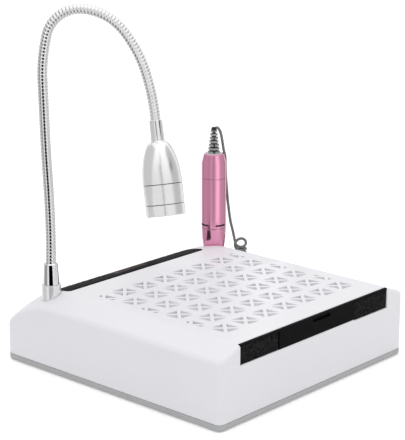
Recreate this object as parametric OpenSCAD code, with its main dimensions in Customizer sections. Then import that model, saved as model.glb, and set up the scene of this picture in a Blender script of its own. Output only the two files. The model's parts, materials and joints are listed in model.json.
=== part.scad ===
// Table-top nail dust collector with a gooseneck lamp and a drill handpiece.
// Origin: centre of the footprint, on the table. +X right, +Y towards the console, +Z up.
// The filter drawer opens towards -Y.

/* [Housing] */
// Width of the housing
body_w = 280; // [276:1:290]
// Depth from the drawer face to the console face
body_d = 292; // [288:1:300]
// Height of the flat top above the table
body_h = 77; // [77:0.5:80]
// Thickness of the moulded walls
wall = 2.6; // [2.2:0.1:3]
// Height of the grey base strip above the table
strip_h = 6.6; // [5:0.1:8]

/* [Top surface] */
// Width of the sloped shoulder along the left and right sides
shoulder_w = 26.7; // [20:0.1:27]
// Height lost across a shoulder
shoulder_drop = 10.3; // [6:0.1:12]
// Depth of the curved slope at the console end
slope_d = 72; // [68:1:74]
// Height lost down the curved slope
slope_drop = 32; // [28:0.5:33]

/* [Intake grille] */
// Distance between rosette centres
rosette_pitch = 29; // [28:0.1:30]
// Reach of a rosette along its longer diagonal
rosette_long = 15.4; // [14:0.1:16]
// Reach of a rosette along its shorter diagonal
rosette_short = 12.9; // [11:0.1:14]
// Width of the two bars that cross in a rosette
rosette_bar = 3.6; // [2:0.1:4]
// Rows of rosettes from the drawer face backwards
rosette_rows = 6; // [4:1:6]

/* [Filter drawer] */
// Width of the black drawer front
drawer_w = 224; // [216:1:226]
// Height of the drawer front
drawer_h = 19.6; // [18:0.1:20]

/* [Lamp] */
// Diameter of the gooseneck hose
hose_d = 10.2; // [9:0.1:10.4]
// Length of one rigid section of the hose model
hose_step = 45.6; // [40:0.1:50]
// Direction the hose leans towards, seen from above
hose_azimuth = -47.8; // [-60:0.1:-30]
// Outer diameter of the lamp head
head_d = 38.4; // [36:0.1:42]

/* [Handpiece] */
// Diameter of the handpiece barrel
barrel_d = 27; // [26.4:0.1:27.4]

/* [Hidden] */

eps = 0.01;
round_fn = 64;
gap = 0.3;

half_w = body_w / 2;
half_d = body_d / 2;
flat_half_w = half_w - shoulder_w;
ridge_y = half_d - slope_d;
slope_r = (slope_d * slope_d + slope_drop * slope_drop) / (2 * slope_drop);
slope_steps = 9;
front_corner_r = 5;
rear_corner_r = 13;
foot_drop = 1;

// Height of the outer skin above the table at a place
function slope_fall(y) = y <= ridge_y ? 0 : slope_r - sqrt(slope_r * slope_r - pow(y - ridge_y, 2));
function shoulder_fall(x) = max(0, abs(x) - flat_half_w) * shoulder_drop / shoulder_w;
function skin_z(x, y) = body_h - shoulder_fall(x) - slope_fall(y);

// Rounded footprint, pulled in by inset
function corner(cx, cy, r, start) =
    [for (a = [0:15:90]) [cx + r * cos(start + a), cy + r * sin(start + a)]];
function footprint(inset) = let (
        x = half_w - inset, y = half_d - inset,
        rf = max(front_corner_r - inset, 1), rr = rear_corner_r - inset)
    concat(
        corner(x - rr, y - rr, rr, 0),
        corner(rr - x, y - rr, rr, 90),
        corner(rf - x, rf - y, rf, 180),
        corner(x - rf, rf - y, rf, 270));

// Solid under the skin from height low up, pulled in by inset on every side and at the top
module under_skin(inset, low) {
    ring = footprint(inset);
    side = half_w - inset;
    crest = [for (i = [0:slope_steps], x = [-side, -flat_half_w, flat_half_w, side])
        let (y = ridge_y + i * (slope_d - rear_corner_r) / slope_steps) [x, y, skin_z(x, y) - inset]];
    rims = [for (x = [-flat_half_w, flat_half_w], y = [inset - half_d, half_d - inset])
        [x, y, skin_z(x, y) - inset]];
    top = [for (p = ring) [p[0], p[1], skin_z(p[0], p[1]) - inset]];
    bottom = [for (p = ring) [p[0], p[1], low]];
    points = concat(crest, rims, top, bottom);
    hull() polyhedron(points, [[for (i = [0:len(points) - 1]) i]]);
}

// ---------- housing ----------
casing_low = strip_h + gap;
column_r = 4.5;
column_low = 12.3;
screw_hole_r = 1.6;
screw_r = 1.5;
screw_places = [for (x = [-130, 130], y = [-132, -10, 128]) [x, y]];
slot_low = body_h - drawer_h - gap;
slot_depth = 6.5;
first_row_y = 41 - half_d;
grille_half_w = 99.5;
exhaust_slot = [4, 24];
exhaust_low = 14;
exhaust_x = [for (side = [-1, 1], i = [0:9]) side * (26 + 8 * i)];
grip_drop = 1;
lamp_at = [20.8 - half_w, 96.1];
cup_at = [120.5, 94];
socket_r = 9.5;
cup_r = 15.6;
inlet_at = [-112, 24];
plug_at = [58, 24];

// Lozenge cut into four petals by the bars along its diagonals
module rosette() {
    rotate([0, 0, -45]) difference() {
        translate([0, 0, -wall]) linear_extrude(2 * wall)
            polygon([[rosette_long, 0], [0, rosette_short], [-rosette_long, 0], [0, -rosette_short]]);
        for (a = [0, 90]) rotate([0, 0, a]) cube([3 * rosette_long, rosette_bar, 3 * wall], center = true);
    }
}

// Whole rosettes in the first row; every second row is shifted half a pitch and cut off at both ends
module grille() {
    intersection() {
        for (row = [0:rosette_rows - 1]) {
            reach = row % 2 == 0 ? 3 : 3.5;
            for (i = [-reach:reach])
                translate([i * rosette_pitch, first_row_y + row * rosette_pitch, body_h - wall / 2])
                    rosette();
        }
        translate([-grille_half_w, -half_d, 0]) cube([2 * grille_half_w, body_d, body_h + wall]);
    }
}

module screw_columns() {
    intersection() {
        for (p = screw_places) translate([p[0], p[1], column_low])
            cylinder(h = body_h, r = column_r, $fn = round_fn);
        under_skin(wall / 2, casing_low);
    }
}

boss_low = 56;
boss_wall = 3.5;

module casing_bosses() {
    intersection() {
        union() {
            translate([lamp_at[0], lamp_at[1], boss_low])
                cylinder(h = body_h, r = socket_r + boss_wall, $fn = round_fn);
            for (x = board_post_x, y = [-board_post_y, board_post_y])
                at_key(x) translate([0, y, post_low]) cylinder(h = board_drop, r = 3, $fn = 32);
        }
        under_skin(wall / 2, casing_low);
    }
}

module top_casing() {
    color("white") difference() {
        union() {
            difference() {
                under_skin(0, casing_low);
                under_skin(wall, casing_low - 1);
            }
            screw_columns();
            casing_bosses();
        }
        grille();
        translate([-drawer_w / 2 - gap, -half_d - 1, slot_low])
            cube([drawer_w + 2 * gap, slot_depth + 1, body_h]);
        for (p = screw_places) translate([p[0], p[1], column_low - 1])
            cylinder(h = 17, r = screw_hole_r, $fn = 32);
        translate([drawer_w / 2 - grip_w - gap, -half_d - 1, slot_low - grip_drop])
            cube([grip_w + 2 * gap, slot_depth + 1, body_h / 2]);
        for (x = exhaust_x)
            translate([x - exhaust_slot[0] / 2, half_d - 2 * wall, exhaust_low])
                cube([exhaust_slot[0], 3 * wall, exhaust_slot[1]]);
        translate([lamp_at[0], lamp_at[1], 0]) cylinder(h = 2 * body_h, r = socket_r + 0.1, $fn = round_fn);
        translate([cup_at[0], cup_at[1], 0]) cylinder(h = 2 * body_h, r = cup_r + 0.1, $fn = round_fn);
        translate([inlet_at[0], half_d - 3 * wall, inlet_at[1]]) rotate([-90, 0, 0])
            cylinder(h = 6 * wall, r = inlet_r + 0.1, $fn = 32);
        translate([half_w - 3 * wall, plug_at[0], plug_at[1]]) rotate([0, 90, 0])
            cylinder(h = 6 * wall, r = cord_socket_r + 0.1, $fn = 32);
        console_band(panel_under, panel_over + 2, -0.15);
        window_cut();
        for (x = board_post_x, y = [-board_post_y, board_post_y])
            at_key(x) translate([0, y, post_low - 1]) cylinder(h = 5, r = 1.3, $fn = 32);
    }
}

foot_r = 7;
foot_h = 1.6;
foot_bevel = 0.5;
foot_places = concat([[0, 0]], [for (x = [-112, 112], y = [-120, 120]) [x, y]]);
post_r = 4.4;
screw_head_r = 3;
screw_head_h = 2;

module base_plate() {
    color("silver") difference() {
        union() {
            difference() {
                translate([0, 0, foot_drop]) linear_extrude(strip_h - foot_drop) polygon(footprint(0));
                translate([0, 0, foot_drop + wall]) linear_extrude(strip_h) polygon(footprint(wall));
            }
            for (p = screw_places) translate([p[0], p[1], foot_drop])
                cylinder(h = column_low - gap - foot_drop, r = post_r, $fn = round_fn);
        }
        for (p = screw_places) translate([p[0], p[1], 0]) {
            cylinder(h = column_low, r = screw_hole_r + 0.1, $fn = 32);
            cylinder(h = foot_drop + screw_head_h + 0.4, r = screw_head_r + 0.3, $fn = 32);
        }
        for (p = foot_places) translate([p[0], p[1], 0])
            cylinder(h = foot_h + 0.05, r = foot_r + 0.2, $fn = round_fn);
    }
}

module rubber_feet() {
    color("dimgray") for (p = foot_places) translate([p[0], p[1], 0])
        turned([[0, 0], [foot_r - foot_bevel, 0], [foot_r, foot_bevel], [foot_r, foot_h], [0, foot_h]]);
}

module base_screws() {
    color("gray") for (p = screw_places) translate([p[0], p[1], foot_drop + 0.3]) difference() {
        union() {
            cylinder(h = screw_head_h, r = screw_head_r, $fn = 32);
            cylinder(h = 22, r = screw_r, $fn = 32);
        }
        for (a = [0, 90]) rotate([0, 0, a]) translate([-2, -0.4, -eps]) cube([4, 0.8, 1.2]);
    }
}

// ---------- suction: blowers under the filter ----------
blower_at = [57, -32];
scroll_r = 54;
duct_x = [20, 103];
duct_top = 43;
blower_low = 8;
blower_top = 49.8;
inlet_hole_r = 41;
impeller_r = 45;
impeller_low = 13;
impeller_h = 32;
motor_r = 14;
shaft_r = 2;
blade_count = 20;
deck_h = 2;

duct_back = half_d - wall - 1;
blower_skin = 2;

// Round scroll and its straight duct to the exhaust slots, as one solid pulled in by inset
module scroll(inset) {
    translate([0, 0, blower_low + inset]) {
        cylinder(h = blower_top - blower_low - 2 * inset, r = scroll_r - inset, $fn = 128);
        translate([duct_x[0] - blower_at[0] + inset, 0, 0])
            cube([duct_x[1] - duct_x[0] - 2 * inset, duct_back - blower_at[1] + inset,
                duct_top - blower_low - 2 * inset]);
    }
}

module blower_housing() {
    difference() {
        intersection() {
            scroll(0);
            translate([-body_w, -body_d, 0])
                cube([2 * body_w, body_d + duct_back - blower_at[1], body_h]);
        }
        scroll(blower_skin);
        translate([0, 0, blower_top - 3]) cylinder(h = 6, r = inlet_hole_r, $fn = 96);
        translate([0, 0, blower_low - 1]) cylinder(h = 6, r = motor_r + 0.1, $fn = round_fn);
    }
}

module blower_housing_right() {
    color("darkgray") translate([blower_at[0], blower_at[1], 0]) blower_housing();
}

module blower_housing_left() {
    color("darkgray") translate([-blower_at[0], blower_at[1], 0]) mirror([1, 0, 0]) blower_housing();
}

// Back plate, ring of blades and shroud ring, on a steel shaft that turns in the motor's sleeve
module impeller() {
    blade = [12, 1.6];
    plate_low = impeller_low + 8;
    translate([0, 0, plate_low]) cylinder(h = 2, r = impeller_r, $fn = 96);
    translate([0, 0, plate_low]) cylinder(h = 12, r = 8, $fn = round_fn);
    for (i = [0:blade_count - 1])
        rotate([0, 0, i * 360 / blade_count]) translate([impeller_r - blade[0] - 1, 0, plate_low + 1])
            rotate([0, 0, 18]) cube([blade[0], blade[1], impeller_h - 9]);
    translate([0, 0, impeller_low + impeller_h - 2]) difference() {
        cylinder(h = 2, r = impeller_r, $fn = 96);
        translate([0, 0, -1]) cylinder(h = 4, r = impeller_r - 10, $fn = 96);
    }
    translate([0, 0, blower_low + 1]) cylinder(h = impeller_h - 4, r = shaft_r, $fn = 32);
}

module impeller_left() {
    color("gray") translate([-blower_at[0], blower_at[1], 0]) impeller();
}

module impeller_right() {
    color("gray") translate([blower_at[0], blower_at[1], 0]) impeller();
}

module fan_motors() {
    color("dimgray") for (x = [-blower_at[0], blower_at[0]]) translate([x, blower_at[1], 0]) difference() {
        union() {
            translate([0, 0, blower_low - 2]) cylinder(h = 12, r = motor_r, $fn = round_fn);
            translate([0, 0, blower_low - 4]) cylinder(h = 3, r = motor_r + 4, $fn = round_fn);
        }
        translate([0, 0, blower_low]) cylinder(h = 20, r = shaft_r + 0.06, $fn = 32);
    }
}

module suction_deck() {
    color("gainsboro") difference() {
        translate([-blower_at[0] - scroll_r, blower_at[1] - scroll_r - 4, blower_top + 0.1])
            cube([2 * (blower_at[0] + scroll_r), 2 * scroll_r + 8, deck_h]);
        for (x = [-blower_at[0], blower_at[0]]) translate([x, blower_at[1], blower_top - 1])
            cylinder(h = 5, r = inlet_hole_r, $fn = 96);
    }
}

// ---------- filter drawer ----------
tray_half_w = 108.6;
tray_low = 57.5;
tray_top = 73.2;
tray_back = 58;
tray_wall = 2.4;
front_back_y = -half_d + slot_depth - 0.4;
pleat_pitch = 9;
grip_w = 54;
grip_t = 1.8;
tab_x = 6;
tab_w = 26;

module drawer_front() {
    color("black") difference() {
        translate([-drawer_w / 2, gap - half_d, slot_low + gap])
            cube([drawer_w, slot_depth - 0.4 - gap, drawer_h - 0.1]);
        translate([tab_x - tab_w / 2, -half_d, body_h - 6]) cube([tab_w, 3.2, 3.4]);
        for (side = [-1, 1])
            translate([side * (drawer_w - grip_w) / 2 - grip_w / 2 - 1, -half_d, slot_low - 1])
                cube([grip_w + 2, 2, drawer_h - 1]);
    }
}

// Textured finger pads; the right one reaches a little lower
module drawer_grips() {
    color("darkslategray") for (side = [-1, 1]) {
        drop = side > 0 ? grip_drop : 0;
        left = side * (drawer_w - grip_w) / 2 - grip_w / 2 + gap;
        translate([left, 0.1 - half_d, slot_low + 0.4 - drop]) difference() {
            cube([grip_w - 2 * gap, grip_t, drawer_h - 2.8 + drop]);
            for (i = [1:8]) translate([i * 6 - 0.4, -1, 2]) cube([0.8, 1.4, drawer_h - 6.8]);
        }
    }
}

module drawer_tray() {
    color("dimgray") difference() {
        translate([-tray_half_w, front_back_y + 0.05, tray_low])
            cube([2 * tray_half_w, tray_back - front_back_y - 0.05, tray_top - tray_low]);
        translate([-tray_half_w + tray_wall, front_back_y + tray_wall, tray_low + 1.6])
            cube([2 * (tray_half_w - tray_wall), tray_back - front_back_y - 2 * tray_wall, tray_top]);
        for (i = [0:3], j = [0:3])
            translate([-tray_half_w + 6 + i * 52, front_back_y + 8 + j * 46.5, 0]) cube([46, 42, body_h]);
    }
}

// Folded paper, drawn as one zigzag band
module filter_pleats() {
    count = 20;
    rise = 9.5;
    skin = 1;
    start = front_back_y + 8;
    low = tray_low + 1.8;
    lower = [for (i = [2 * count:-1:0]) [start + i * pleat_pitch / 2, low + (i % 2 == 0 ? 0 : rise)]];
    upper = [for (i = [0:2 * count]) [start + i * pleat_pitch / 2, low + skin + (i % 2 == 0 ? 0 : rise)]];
    color("whitesmoke") translate([tray_wall + 0.4 - tray_half_w, 0, 0]) rotate([90, 0, 90])
        linear_extrude(2 * (tray_half_w - tray_wall - 0.4)) polygon(concat(upper, lower));
}

// Stiff screen that keeps large clippings off the pleats
module filter_screen() {
    inner_w = 2 * (tray_half_w - tray_wall - 0.4);
    inner_d = tray_back - front_back_y - 2 * tray_wall - 0.8;
    columns = 15;
    rows = 13;
    bar = 2.4;
    hole_w = (inner_w - bar) / columns - bar;
    hole_d = (inner_d - bar) / rows - bar;
    color("lightgray") translate([-inner_w / 2, front_back_y + tray_wall + 0.4, tray_top - 2.4])
        linear_extrude(1.2) difference() {
            square([inner_w, inner_d]);
            for (i = [0:columns - 1], j = [0:rows - 1])
                translate([bar + i * (hole_w + bar), bar + j * (hole_d + bar)]) square([hole_w, hole_d]);
        }
}

// L-shaped runner that hangs under the top and carries one side of the tray
module runner() {
    length = tray_back - front_back_y - 4;
    translate([tray_half_w + gap, front_back_y + 4, tray_low - 2.4]) {
        cube([2, length, body_h - wall - 0.1 - tray_low + 2.4]);
        translate([-6, 0, 0]) cube([7, length, 2.2]);
    }
}

module runner_left() {
    color("silver") mirror([1, 0, 0]) runner();
}

module runner_right() {
    color("silver") runner();
}

// ---------- console ----------
panel_x = [-108, 91];
panel_y = [82, 134];
panel_over = 0.6;
panel_under = 1.5;
panel_corner_r = 4;
key_y = 101;
key_tilt = asin((key_y - ridge_y) / slope_r);
key_z = skin_z(0, key_y);
panel_mid = (panel_x[0] + panel_x[1]) / 2;
display_half_w = 24;
display_y = [91, 111];
key_r = 5.4;
key_travel = 0.8;
key_proud = 0.15;
board_drop = 8.3;
post_low = -board_drop;
board_post_x = [-100, 83];
board_post_y = 8;

// Places children on the slope at the row of keys, with local +Z along the surface normal
module at_key(x) {
    translate([x, key_y, key_z]) rotate([-key_tilt, 0, 0]) children();
}

// Band that follows the slope, from under below the skin to over above it
module slope_band(x0, x1, y0, y1, under, over) {
    steps = 12;
    ys = [for (i = [0:steps]) y0 + i * (y1 - y0) / steps];
    upper = [for (y = ys) [y, skin_z(0, y) + over]];
    lower = [for (i = [steps:-1:0]) [ys[i], skin_z(0, ys[i]) - under]];
    translate([x0, 0, 0]) rotate([90, 0, 90]) linear_extrude(x1 - x0) polygon(concat(upper, lower));
}

module round_corners(x0, x1, y0, y1, r) {
    linear_extrude(2 * body_h) union() {
        translate([x0 + r, y0]) square([x1 - x0 - 2 * r, y1 - y0]);
        translate([x0, y0 + r]) square([x1 - x0, y1 - y0 - 2 * r]);
        for (x = [x0 + r, x1 - r], y = [y0 + r, y1 - r]) translate([x, y]) circle(r, $fn = 48);
    }
}

module console_band(under, over, inset) {
    intersection() {
        slope_band(panel_x[0] + inset, panel_x[1] - inset, panel_y[0] + inset, panel_y[1] - inset,
            under, over);
        round_corners(panel_x[0] + inset, panel_x[1] - inset, panel_y[0] + inset, panel_y[1] - inset,
            panel_corner_r - inset);
    }
}

module window_cut() {
    translate([panel_x[0] + 13, panel_y[0] + 5, tray_low]) cube([panel_x[1] - panel_x[0] - 26, 40, body_h]);
}

key_x = [for (i = [-2, -1, 0]) panel_mid - 38 + i * 20];
key_x_right = [for (i = [0, 1, 2]) panel_mid + 38 + i * 20];

module console_panel() {
    color([0.05, 0.05, 0.06]) difference() {
        console_band(panel_under - 0.1, panel_over, 0);
        for (x = concat(key_x, key_x_right)) at_key(x)
            cylinder(h = 10, r = key_r + 0.07, center = true, $fn = 48);
        slope_band(panel_mid - display_half_w - 0.1, panel_mid + display_half_w + 0.1,
            display_y[0] - 0.1, display_y[1] + 0.1, 3, 3);
    }
}

module display_window() {
    color([0.2, 0.02, 0.02]) slope_band(panel_mid - display_half_w, panel_mid + display_half_w,
        display_y[0], display_y[1], panel_under, panel_over - 0.1);
}

// Cap almost flush with the panel, with a retaining flange and a stem over its switch
module key(x) {
    color("dimgray") at_key(x) {
        translate([0, 0, -3]) cylinder(h = 3 + panel_over + key_proud, r = key_r, $fn = 48);
        translate([0, 0, -3]) cylinder(h = 1.1, r = key_r + 1, $fn = 48);
        translate([0, 0, -5]) cylinder(h = 3, r = 1.6, $fn = 32);
    }
}

module key_fan() { key(key_x[0]); }
module key_lamp() { key(key_x[1]); }
module key_drill() { key(key_x[2]); }
module key_slower() { key(key_x_right[0]); }
module key_faster() { key(key_x_right[1]); }
module key_direction() { key(key_x_right[2]); }

module key_switches() {
    color("silver") for (x = concat(key_x, key_x_right)) at_key(x)
        translate([-3, -3, -board_drop]) cube([6, 6, board_drop - 5 - key_travel - 0.1]);
}

module control_board() {
    color("darkgreen") at_key(0) difference() {
        union() {
            translate([-104, -12, -board_drop - 1.65]) cube([191, 24, 1.6]);
            translate([panel_mid - 20, -8, -board_drop - 0.1]) cube([40, 16, 3.5]);
            for (x = [-80, 40]) translate([x, 0, -board_drop - 6]) cube([16, 10, 5]);
        }
        for (x = board_post_x, y = [-board_post_y, board_post_y])
            translate([x, y, -board_drop - 5]) cylinder(h = 10, r = 1.4, $fn = 32);
    }
}

module board_screws() {
    color("gray") for (x = board_post_x, y = [-board_post_y, board_post_y])
        at_key(x) translate([0, y, -board_drop - 3.1]) {
            cylinder(h = 1.4, r = 2.4, $fn = 32);
            cylinder(h = 6, r = 1.2, $fn = 32);
        }
}

// ---------- connectors ----------
inlet_r = 5.6;
cord_socket_r = 6.5;

module power_inlet() {
    color("black") translate([inlet_at[0], half_d, inlet_at[1]]) rotate([90, 0, 0]) {
        difference() {
            union() {
                translate([0, 0, -1.2]) cylinder(h = 1.1, r = inlet_r + 1.5, $fn = 48);
                translate([0, 0, -1.2]) cylinder(h = 16, r = inlet_r, $fn = 48);
                translate([-7, -6, wall + 0.2]) cube([14, 12, 13]);
            }
            translate([0, 0, -2]) cylinder(h = 13, r = 2.8, $fn = 32);
        }
        translate([0, 0, 1]) cylinder(h = 11, r = 1, $fn = 32);
    }
}

module cord_socket() {
    color("black") translate([half_w, plug_at[0], plug_at[1]]) rotate([0, -90, 0]) difference() {
        union() {
            translate([0, 0, -1.2]) cylinder(h = 1.1, r = cord_socket_r + 1.5, $fn = 48);
            translate([0, 0, -1.2]) cylinder(h = 13, r = cord_socket_r, $fn = 48);
        }
        translate([0, 0, -2]) cylinder(h = 11, r = 4.1, $fn = 32);
    }
}

// ---------- lamp ----------
hose_r = hose_d / 2;
socket_top = 84.2;
collar_top = 104.6;
spigot_r = 5;
hose_start = 97;
hose_heading = 87.8;
section_turn = [-3, -1.7, 1.4, 0, 15.5, 80, 48, 21, 11.2];
section_count = len(section_turn);
ball_r = 4.1;
neck_back = 3.2;
neck_front = 0.8;

// Heading at the start of section i, and where that section starts, in the plane of the hose
function heading(i) = i == 0 ? hose_heading : heading(i - 1) - section_turn[i - 1];
function chord(i) = abs(section_turn[i]) < 0.1 ? hose_step
    : hose_step * 2 * sin(section_turn[i] / 2) / (section_turn[i] * PI / 180);
function station(i) = i == 0 ? [0, collar_top]
    : let (h = heading(i - 1) - section_turn[i - 1] / 2) station(i - 1) + chord(i - 1) * [cos(h), sin(h)];

// Draws children in the hose's upright plane: local X leans outwards and local Y is up
module in_hose_plane() {
    translate([lamp_at[0], lamp_at[1], 0]) rotate([0, 0, hose_azimuth]) rotate([90, 0, 0]) children();
}

// Round bar along section i, from distance low to distance high along it
module bar_along(i, low, high, r) {
    turn = section_turn[i];
    if (abs(turn) < 0.1) {
        translate(station(i)) rotate([0, 0, heading(i)]) rotate([0, 90, 0])
            translate([0, 0, low]) cylinder(h = high - low, r = r, $fn = round_fn);
    } else {
        radius = hose_step / (turn * PI / 180);
        centre = station(i) + radius * [sin(heading(i)), -cos(heading(i))];
        first = heading(i) + sign(turn) * 90 - turn * (turn > 0 ? high : low) / hose_step;
        translate(centre) rotate([0, 0, first])
            rotate_extrude(angle = abs(turn) * (high - low) / hose_step, $fn = 180)
                translate([abs(radius), 0]) circle(r, $fn = 32);
    }
}

module ball_at(i, r) {
    translate(station(i)) sphere(r, $fn = round_fn);
}

// One stiff length of the hose: a cup over the ball below it, and a ball for the next length
module hose_section(i) {
    color("silver") in_hose_plane() {
        difference() {
            bar_along(i, neck_front, hose_step - neck_back, hose_r);
            ball_at(i, ball_r + 0.06);
        }
        ball_at(i + 1, ball_r);
    }
}

module hose_section_1() {
    color("silver") in_hose_plane() {
        bar_along(0, 0, hose_step - neck_back, hose_r);
        ball_at(1, ball_r);
    }
    color("silver") in_hose_plane() translate(station(0)) rotate([0, 0, heading(0)]) rotate([0, -90, 0])
        translate([0, 0, -0.5]) cylinder(h = 6, r = hose_r - 0.05, $fn = round_fn);
}

module hose_section_2() { hose_section(1); }
module hose_section_3() { hose_section(2); }
module hose_section_4() { hose_section(3); }
module hose_section_5() { hose_section(4); }
module hose_section_6() { hose_section(5); }
module hose_section_7() { hose_section(6); }
module hose_section_8() { hose_section(7); }
module hose_section_9() { hose_section(8); }

module lamp_socket() {
    color("whitesmoke") translate([lamp_at[0], lamp_at[1], 0]) difference() {
        union() {
            translate([0, 0, boss_low - 4])
                cylinder(h = socket_top - boss_low + 4, r = socket_r, $fn = round_fn);
            translate([0, 0, boss_low - 4]) cylinder(h = 3.9, r = socket_r + boss_wall, $fn = round_fn);
        }
        translate([0, 0, boss_low - 5]) cylinder(h = body_h, r = spigot_r + 0.06, $fn = round_fn);
    }
}

// Chrome ferrule at the foot of the hose; its spigot turns in the socket
module lamp_collar() {
    color("lightgray") translate([lamp_at[0], lamp_at[1], 0]) difference() {
        turned([[0, boss_low + 4], [spigot_r, boss_low + 4], [spigot_r, socket_top + 0.1],
            [7.7, socket_top + 0.1], [6.8, collar_top + 1.2], [6.2, collar_top + 1.9],
            [0, collar_top + 1.9]]);
        translate([0, 0, hose_start]) cylinder(h = 20, r = hose_r + 0.3, $fn = round_fn);
        translate([0, 0, boss_low]) cylinder(h = 2 * body_h, r = 2, $fn = 32);
    }
}

collar_len = 22.3;
dome_len = 40.2;
barrel_len = 20;
bezel_len = 10.9;
head_r = head_d / 2;
dome_top_r = 9;
dome_at = collar_len;
barrel_at = dome_at + dome_len;
bezel_at = barrel_at + barrel_len;
head_wall = 1.8;
head_lean = 6.2;
head_nod = 12;

// Places children at the last pivot with local -Z running down the lamp head, whose face nods forwards
module at_head() {
    in_hose_plane() translate(station(section_count)) rotate([-head_nod, 0, 0])
        rotate([0, 0, head_lean]) rotate([-90, 0, 0]) children();
}

function dome_radius(u) = dome_top_r + (head_r - dome_top_r) * sin(90 * pow(u, 0.7));

module turned(profile) {
    rotate_extrude($fn = 96) polygon(profile);
}

module head_collar() {
    color("lightgray") at_head() difference() {
        turned([[0, -neck_front], [6.2, -neck_front], [6.7, -collar_len], [0, -collar_len]]);
        sphere(ball_r + 0.06, $fn = round_fn);
    }
}

module head_dome() {
    steps = 10;
    inner = [for (i = [steps:-1:3]) [dome_radius(i / steps) - head_wall, -dome_at - dome_len * i / steps]];
    outer = [for (i = [0:steps]) [dome_radius(i / steps), -dome_at - 0.1 - (dome_len - 0.1) * i / steps]];
    color("silver") at_head()
        turned(concat([[0, -dome_at - 0.1]], outer, inner, [[0, inner[len(inner) - 1][1]]]));
}

module head_barrel() {
    low = -bezel_at + 0.2;
    high = -barrel_at - 0.2;
    color("silver") at_head() difference() {
        turned([[0, low], [head_r, low], [head_r, high], [0, high]]);
        turned([[0, low - 1], [head_r - head_wall, low - 1], [head_r - head_wall, high - 4], [0, high - 4]]);
        translate([0, 0, high - 5]) cylinder(h = 10, r = 2.5, $fn = 32);
    }
}

module head_bezel() {
    low = -bezel_at - bezel_len;
    high = -bezel_at;
    color("silver") at_head()
        turned([[head_r - head_wall - 1.4, low], [head_r - 0.6, low], [head_r, low + 0.8], [head_r, high],
            [head_r - head_wall, high], [head_r - head_wall, low + 1.8],
            [head_r - head_wall - 1.4, low + 1.8]]);
}

module head_lens() {
    low = -bezel_at - bezel_len + 1.9;
    color([0.9, 0.95, 1, 0.5]) at_head() translate([0, 0, low])
        cylinder(h = 2, r = head_r - head_wall - 0.1, $fn = 96);
}

module head_reflector() {
    low = -bezel_at - bezel_len + 4;
    top = -bezel_at + 8;
    rim = head_r - head_wall - 0.2;
    color("white") at_head()
        turned([[rim - 1.2, low], [rim, low], [7.2, top], [6, top]]);
}

module led_board() {
    top = -bezel_at + 8;
    color("ivory") at_head() {
        translate([0, 0, top + 0.2]) cylinder(h = 1.6, r = head_r - head_wall - 0.2, $fn = round_fn);
        translate([0, 0, top - 1.3]) cylinder(h = 1.6, r = 4.5, $fn = round_fn);
    }
}

// ---------- handpiece ----------
barrel_r = barrel_d / 2;
cap_low = 150.1;
cap_shoulder = 166.2;
cap_top = 176.9;
barrel_low = 94.4;
grip_low = 50;
grip_bottom_r = 10;
grip_waist = [11.3, 77];
nose_low = 36;
nose_bore_r = 1.19;
cup_low = 16;
relief_top = 206;
spindle_r = 2.5;

module at_handpiece() {
    translate([cup_at[0], cup_at[1], 0]) children();
}

module handpiece_cup() {
    color("white") intersection() {
        at_handpiece() difference() {
            translate([0, 0, cup_low]) cylinder(h = body_h, r = cup_r, $fn = round_fn);
            turned([[0, cup_low + 2], [grip_bottom_r + 0.3, cup_low + 2], [grip_bottom_r + 0.3, grip_low],
                [barrel_r + 0.4, grip_low + 30], [barrel_r + 0.4, 2 * body_h], [0, 2 * body_h]]);
        }
        under_skin(0, 0);
    }
}

// Four vent slits close to the lower edge
module handpiece_barrel() {
    slit = [12, 1.5];
    first_slit = 78;
    color("palevioletred") at_handpiece() difference() {
        turned([[11.6, barrel_low], [barrel_r, barrel_low], [barrel_r, cap_low], [11.6, cap_low]]);
        for (a = [0:90:270]) rotate([0, 0, first_slit + a])
            translate([8, -slit[0] / 2, barrel_low + 3.2]) cube([8, slit[0], slit[1]]);
    }
}

module handpiece_cap() {
    color("palevioletred") at_handpiece() difference() {
        turned([[0, cap_low + 0.2], [barrel_r, cap_low + 0.2], [barrel_r, cap_shoulder],
            [10.9, cap_top], [0, cap_top]]);
        translate([0, 0, cap_low - 1]) cylinder(h = cap_shoulder - cap_low, r = 11.6, $fn = round_fn);
        translate([0, 0, cap_low]) cylinder(h = 40, r = 3, $fn = 32);
    }
}

// Front sleeve: a part turn opens and closes the collet
module handpiece_grip() {
    color("palevioletred") at_handpiece()
        turned([[8.6, grip_low], [grip_bottom_r, grip_low], grip_waist, [barrel_r - 0.2, barrel_low - 1],
            [barrel_r - 0.3, barrel_low - 0.2], [11.6, barrel_low - 0.2], [8.6, barrel_low - 14]]);
}

module handpiece_nose() {
    color("silver") at_handpiece() difference() {
        turned([[0, nose_low + 1], [5.5, nose_low + 1], [7.5, grip_low - 0.2], [8.54, grip_low - 0.2],
            [8.54, grip_low + 18], [0, grip_low + 18]]);
        translate([0, 0, nose_low]) cylinder(h = 40, r = 4.2, $fn = round_fn);
    }
}

module handpiece_motor() {
    color("gray") at_handpiece() difference() {
        translate([0, 0, barrel_low + 1]) cylinder(h = 52, r = 11.5, $fn = round_fn);
        translate([0, 0, barrel_low]) cylinder(h = 40, r = spindle_r + 0.6, $fn = 32);
    }
}

module handpiece_bearings() {
    color("lightgray") at_handpiece()
        for (z = [nose_low + 8, grip_low + 10]) translate([0, 0, z]) difference() {
            cylinder(h = 5, r = 4.15, $fn = round_fn);
            translate([0, 0, -1]) cylinder(h = 7, r = spindle_r + 0.05, $fn = 48);
        }
}

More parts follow.
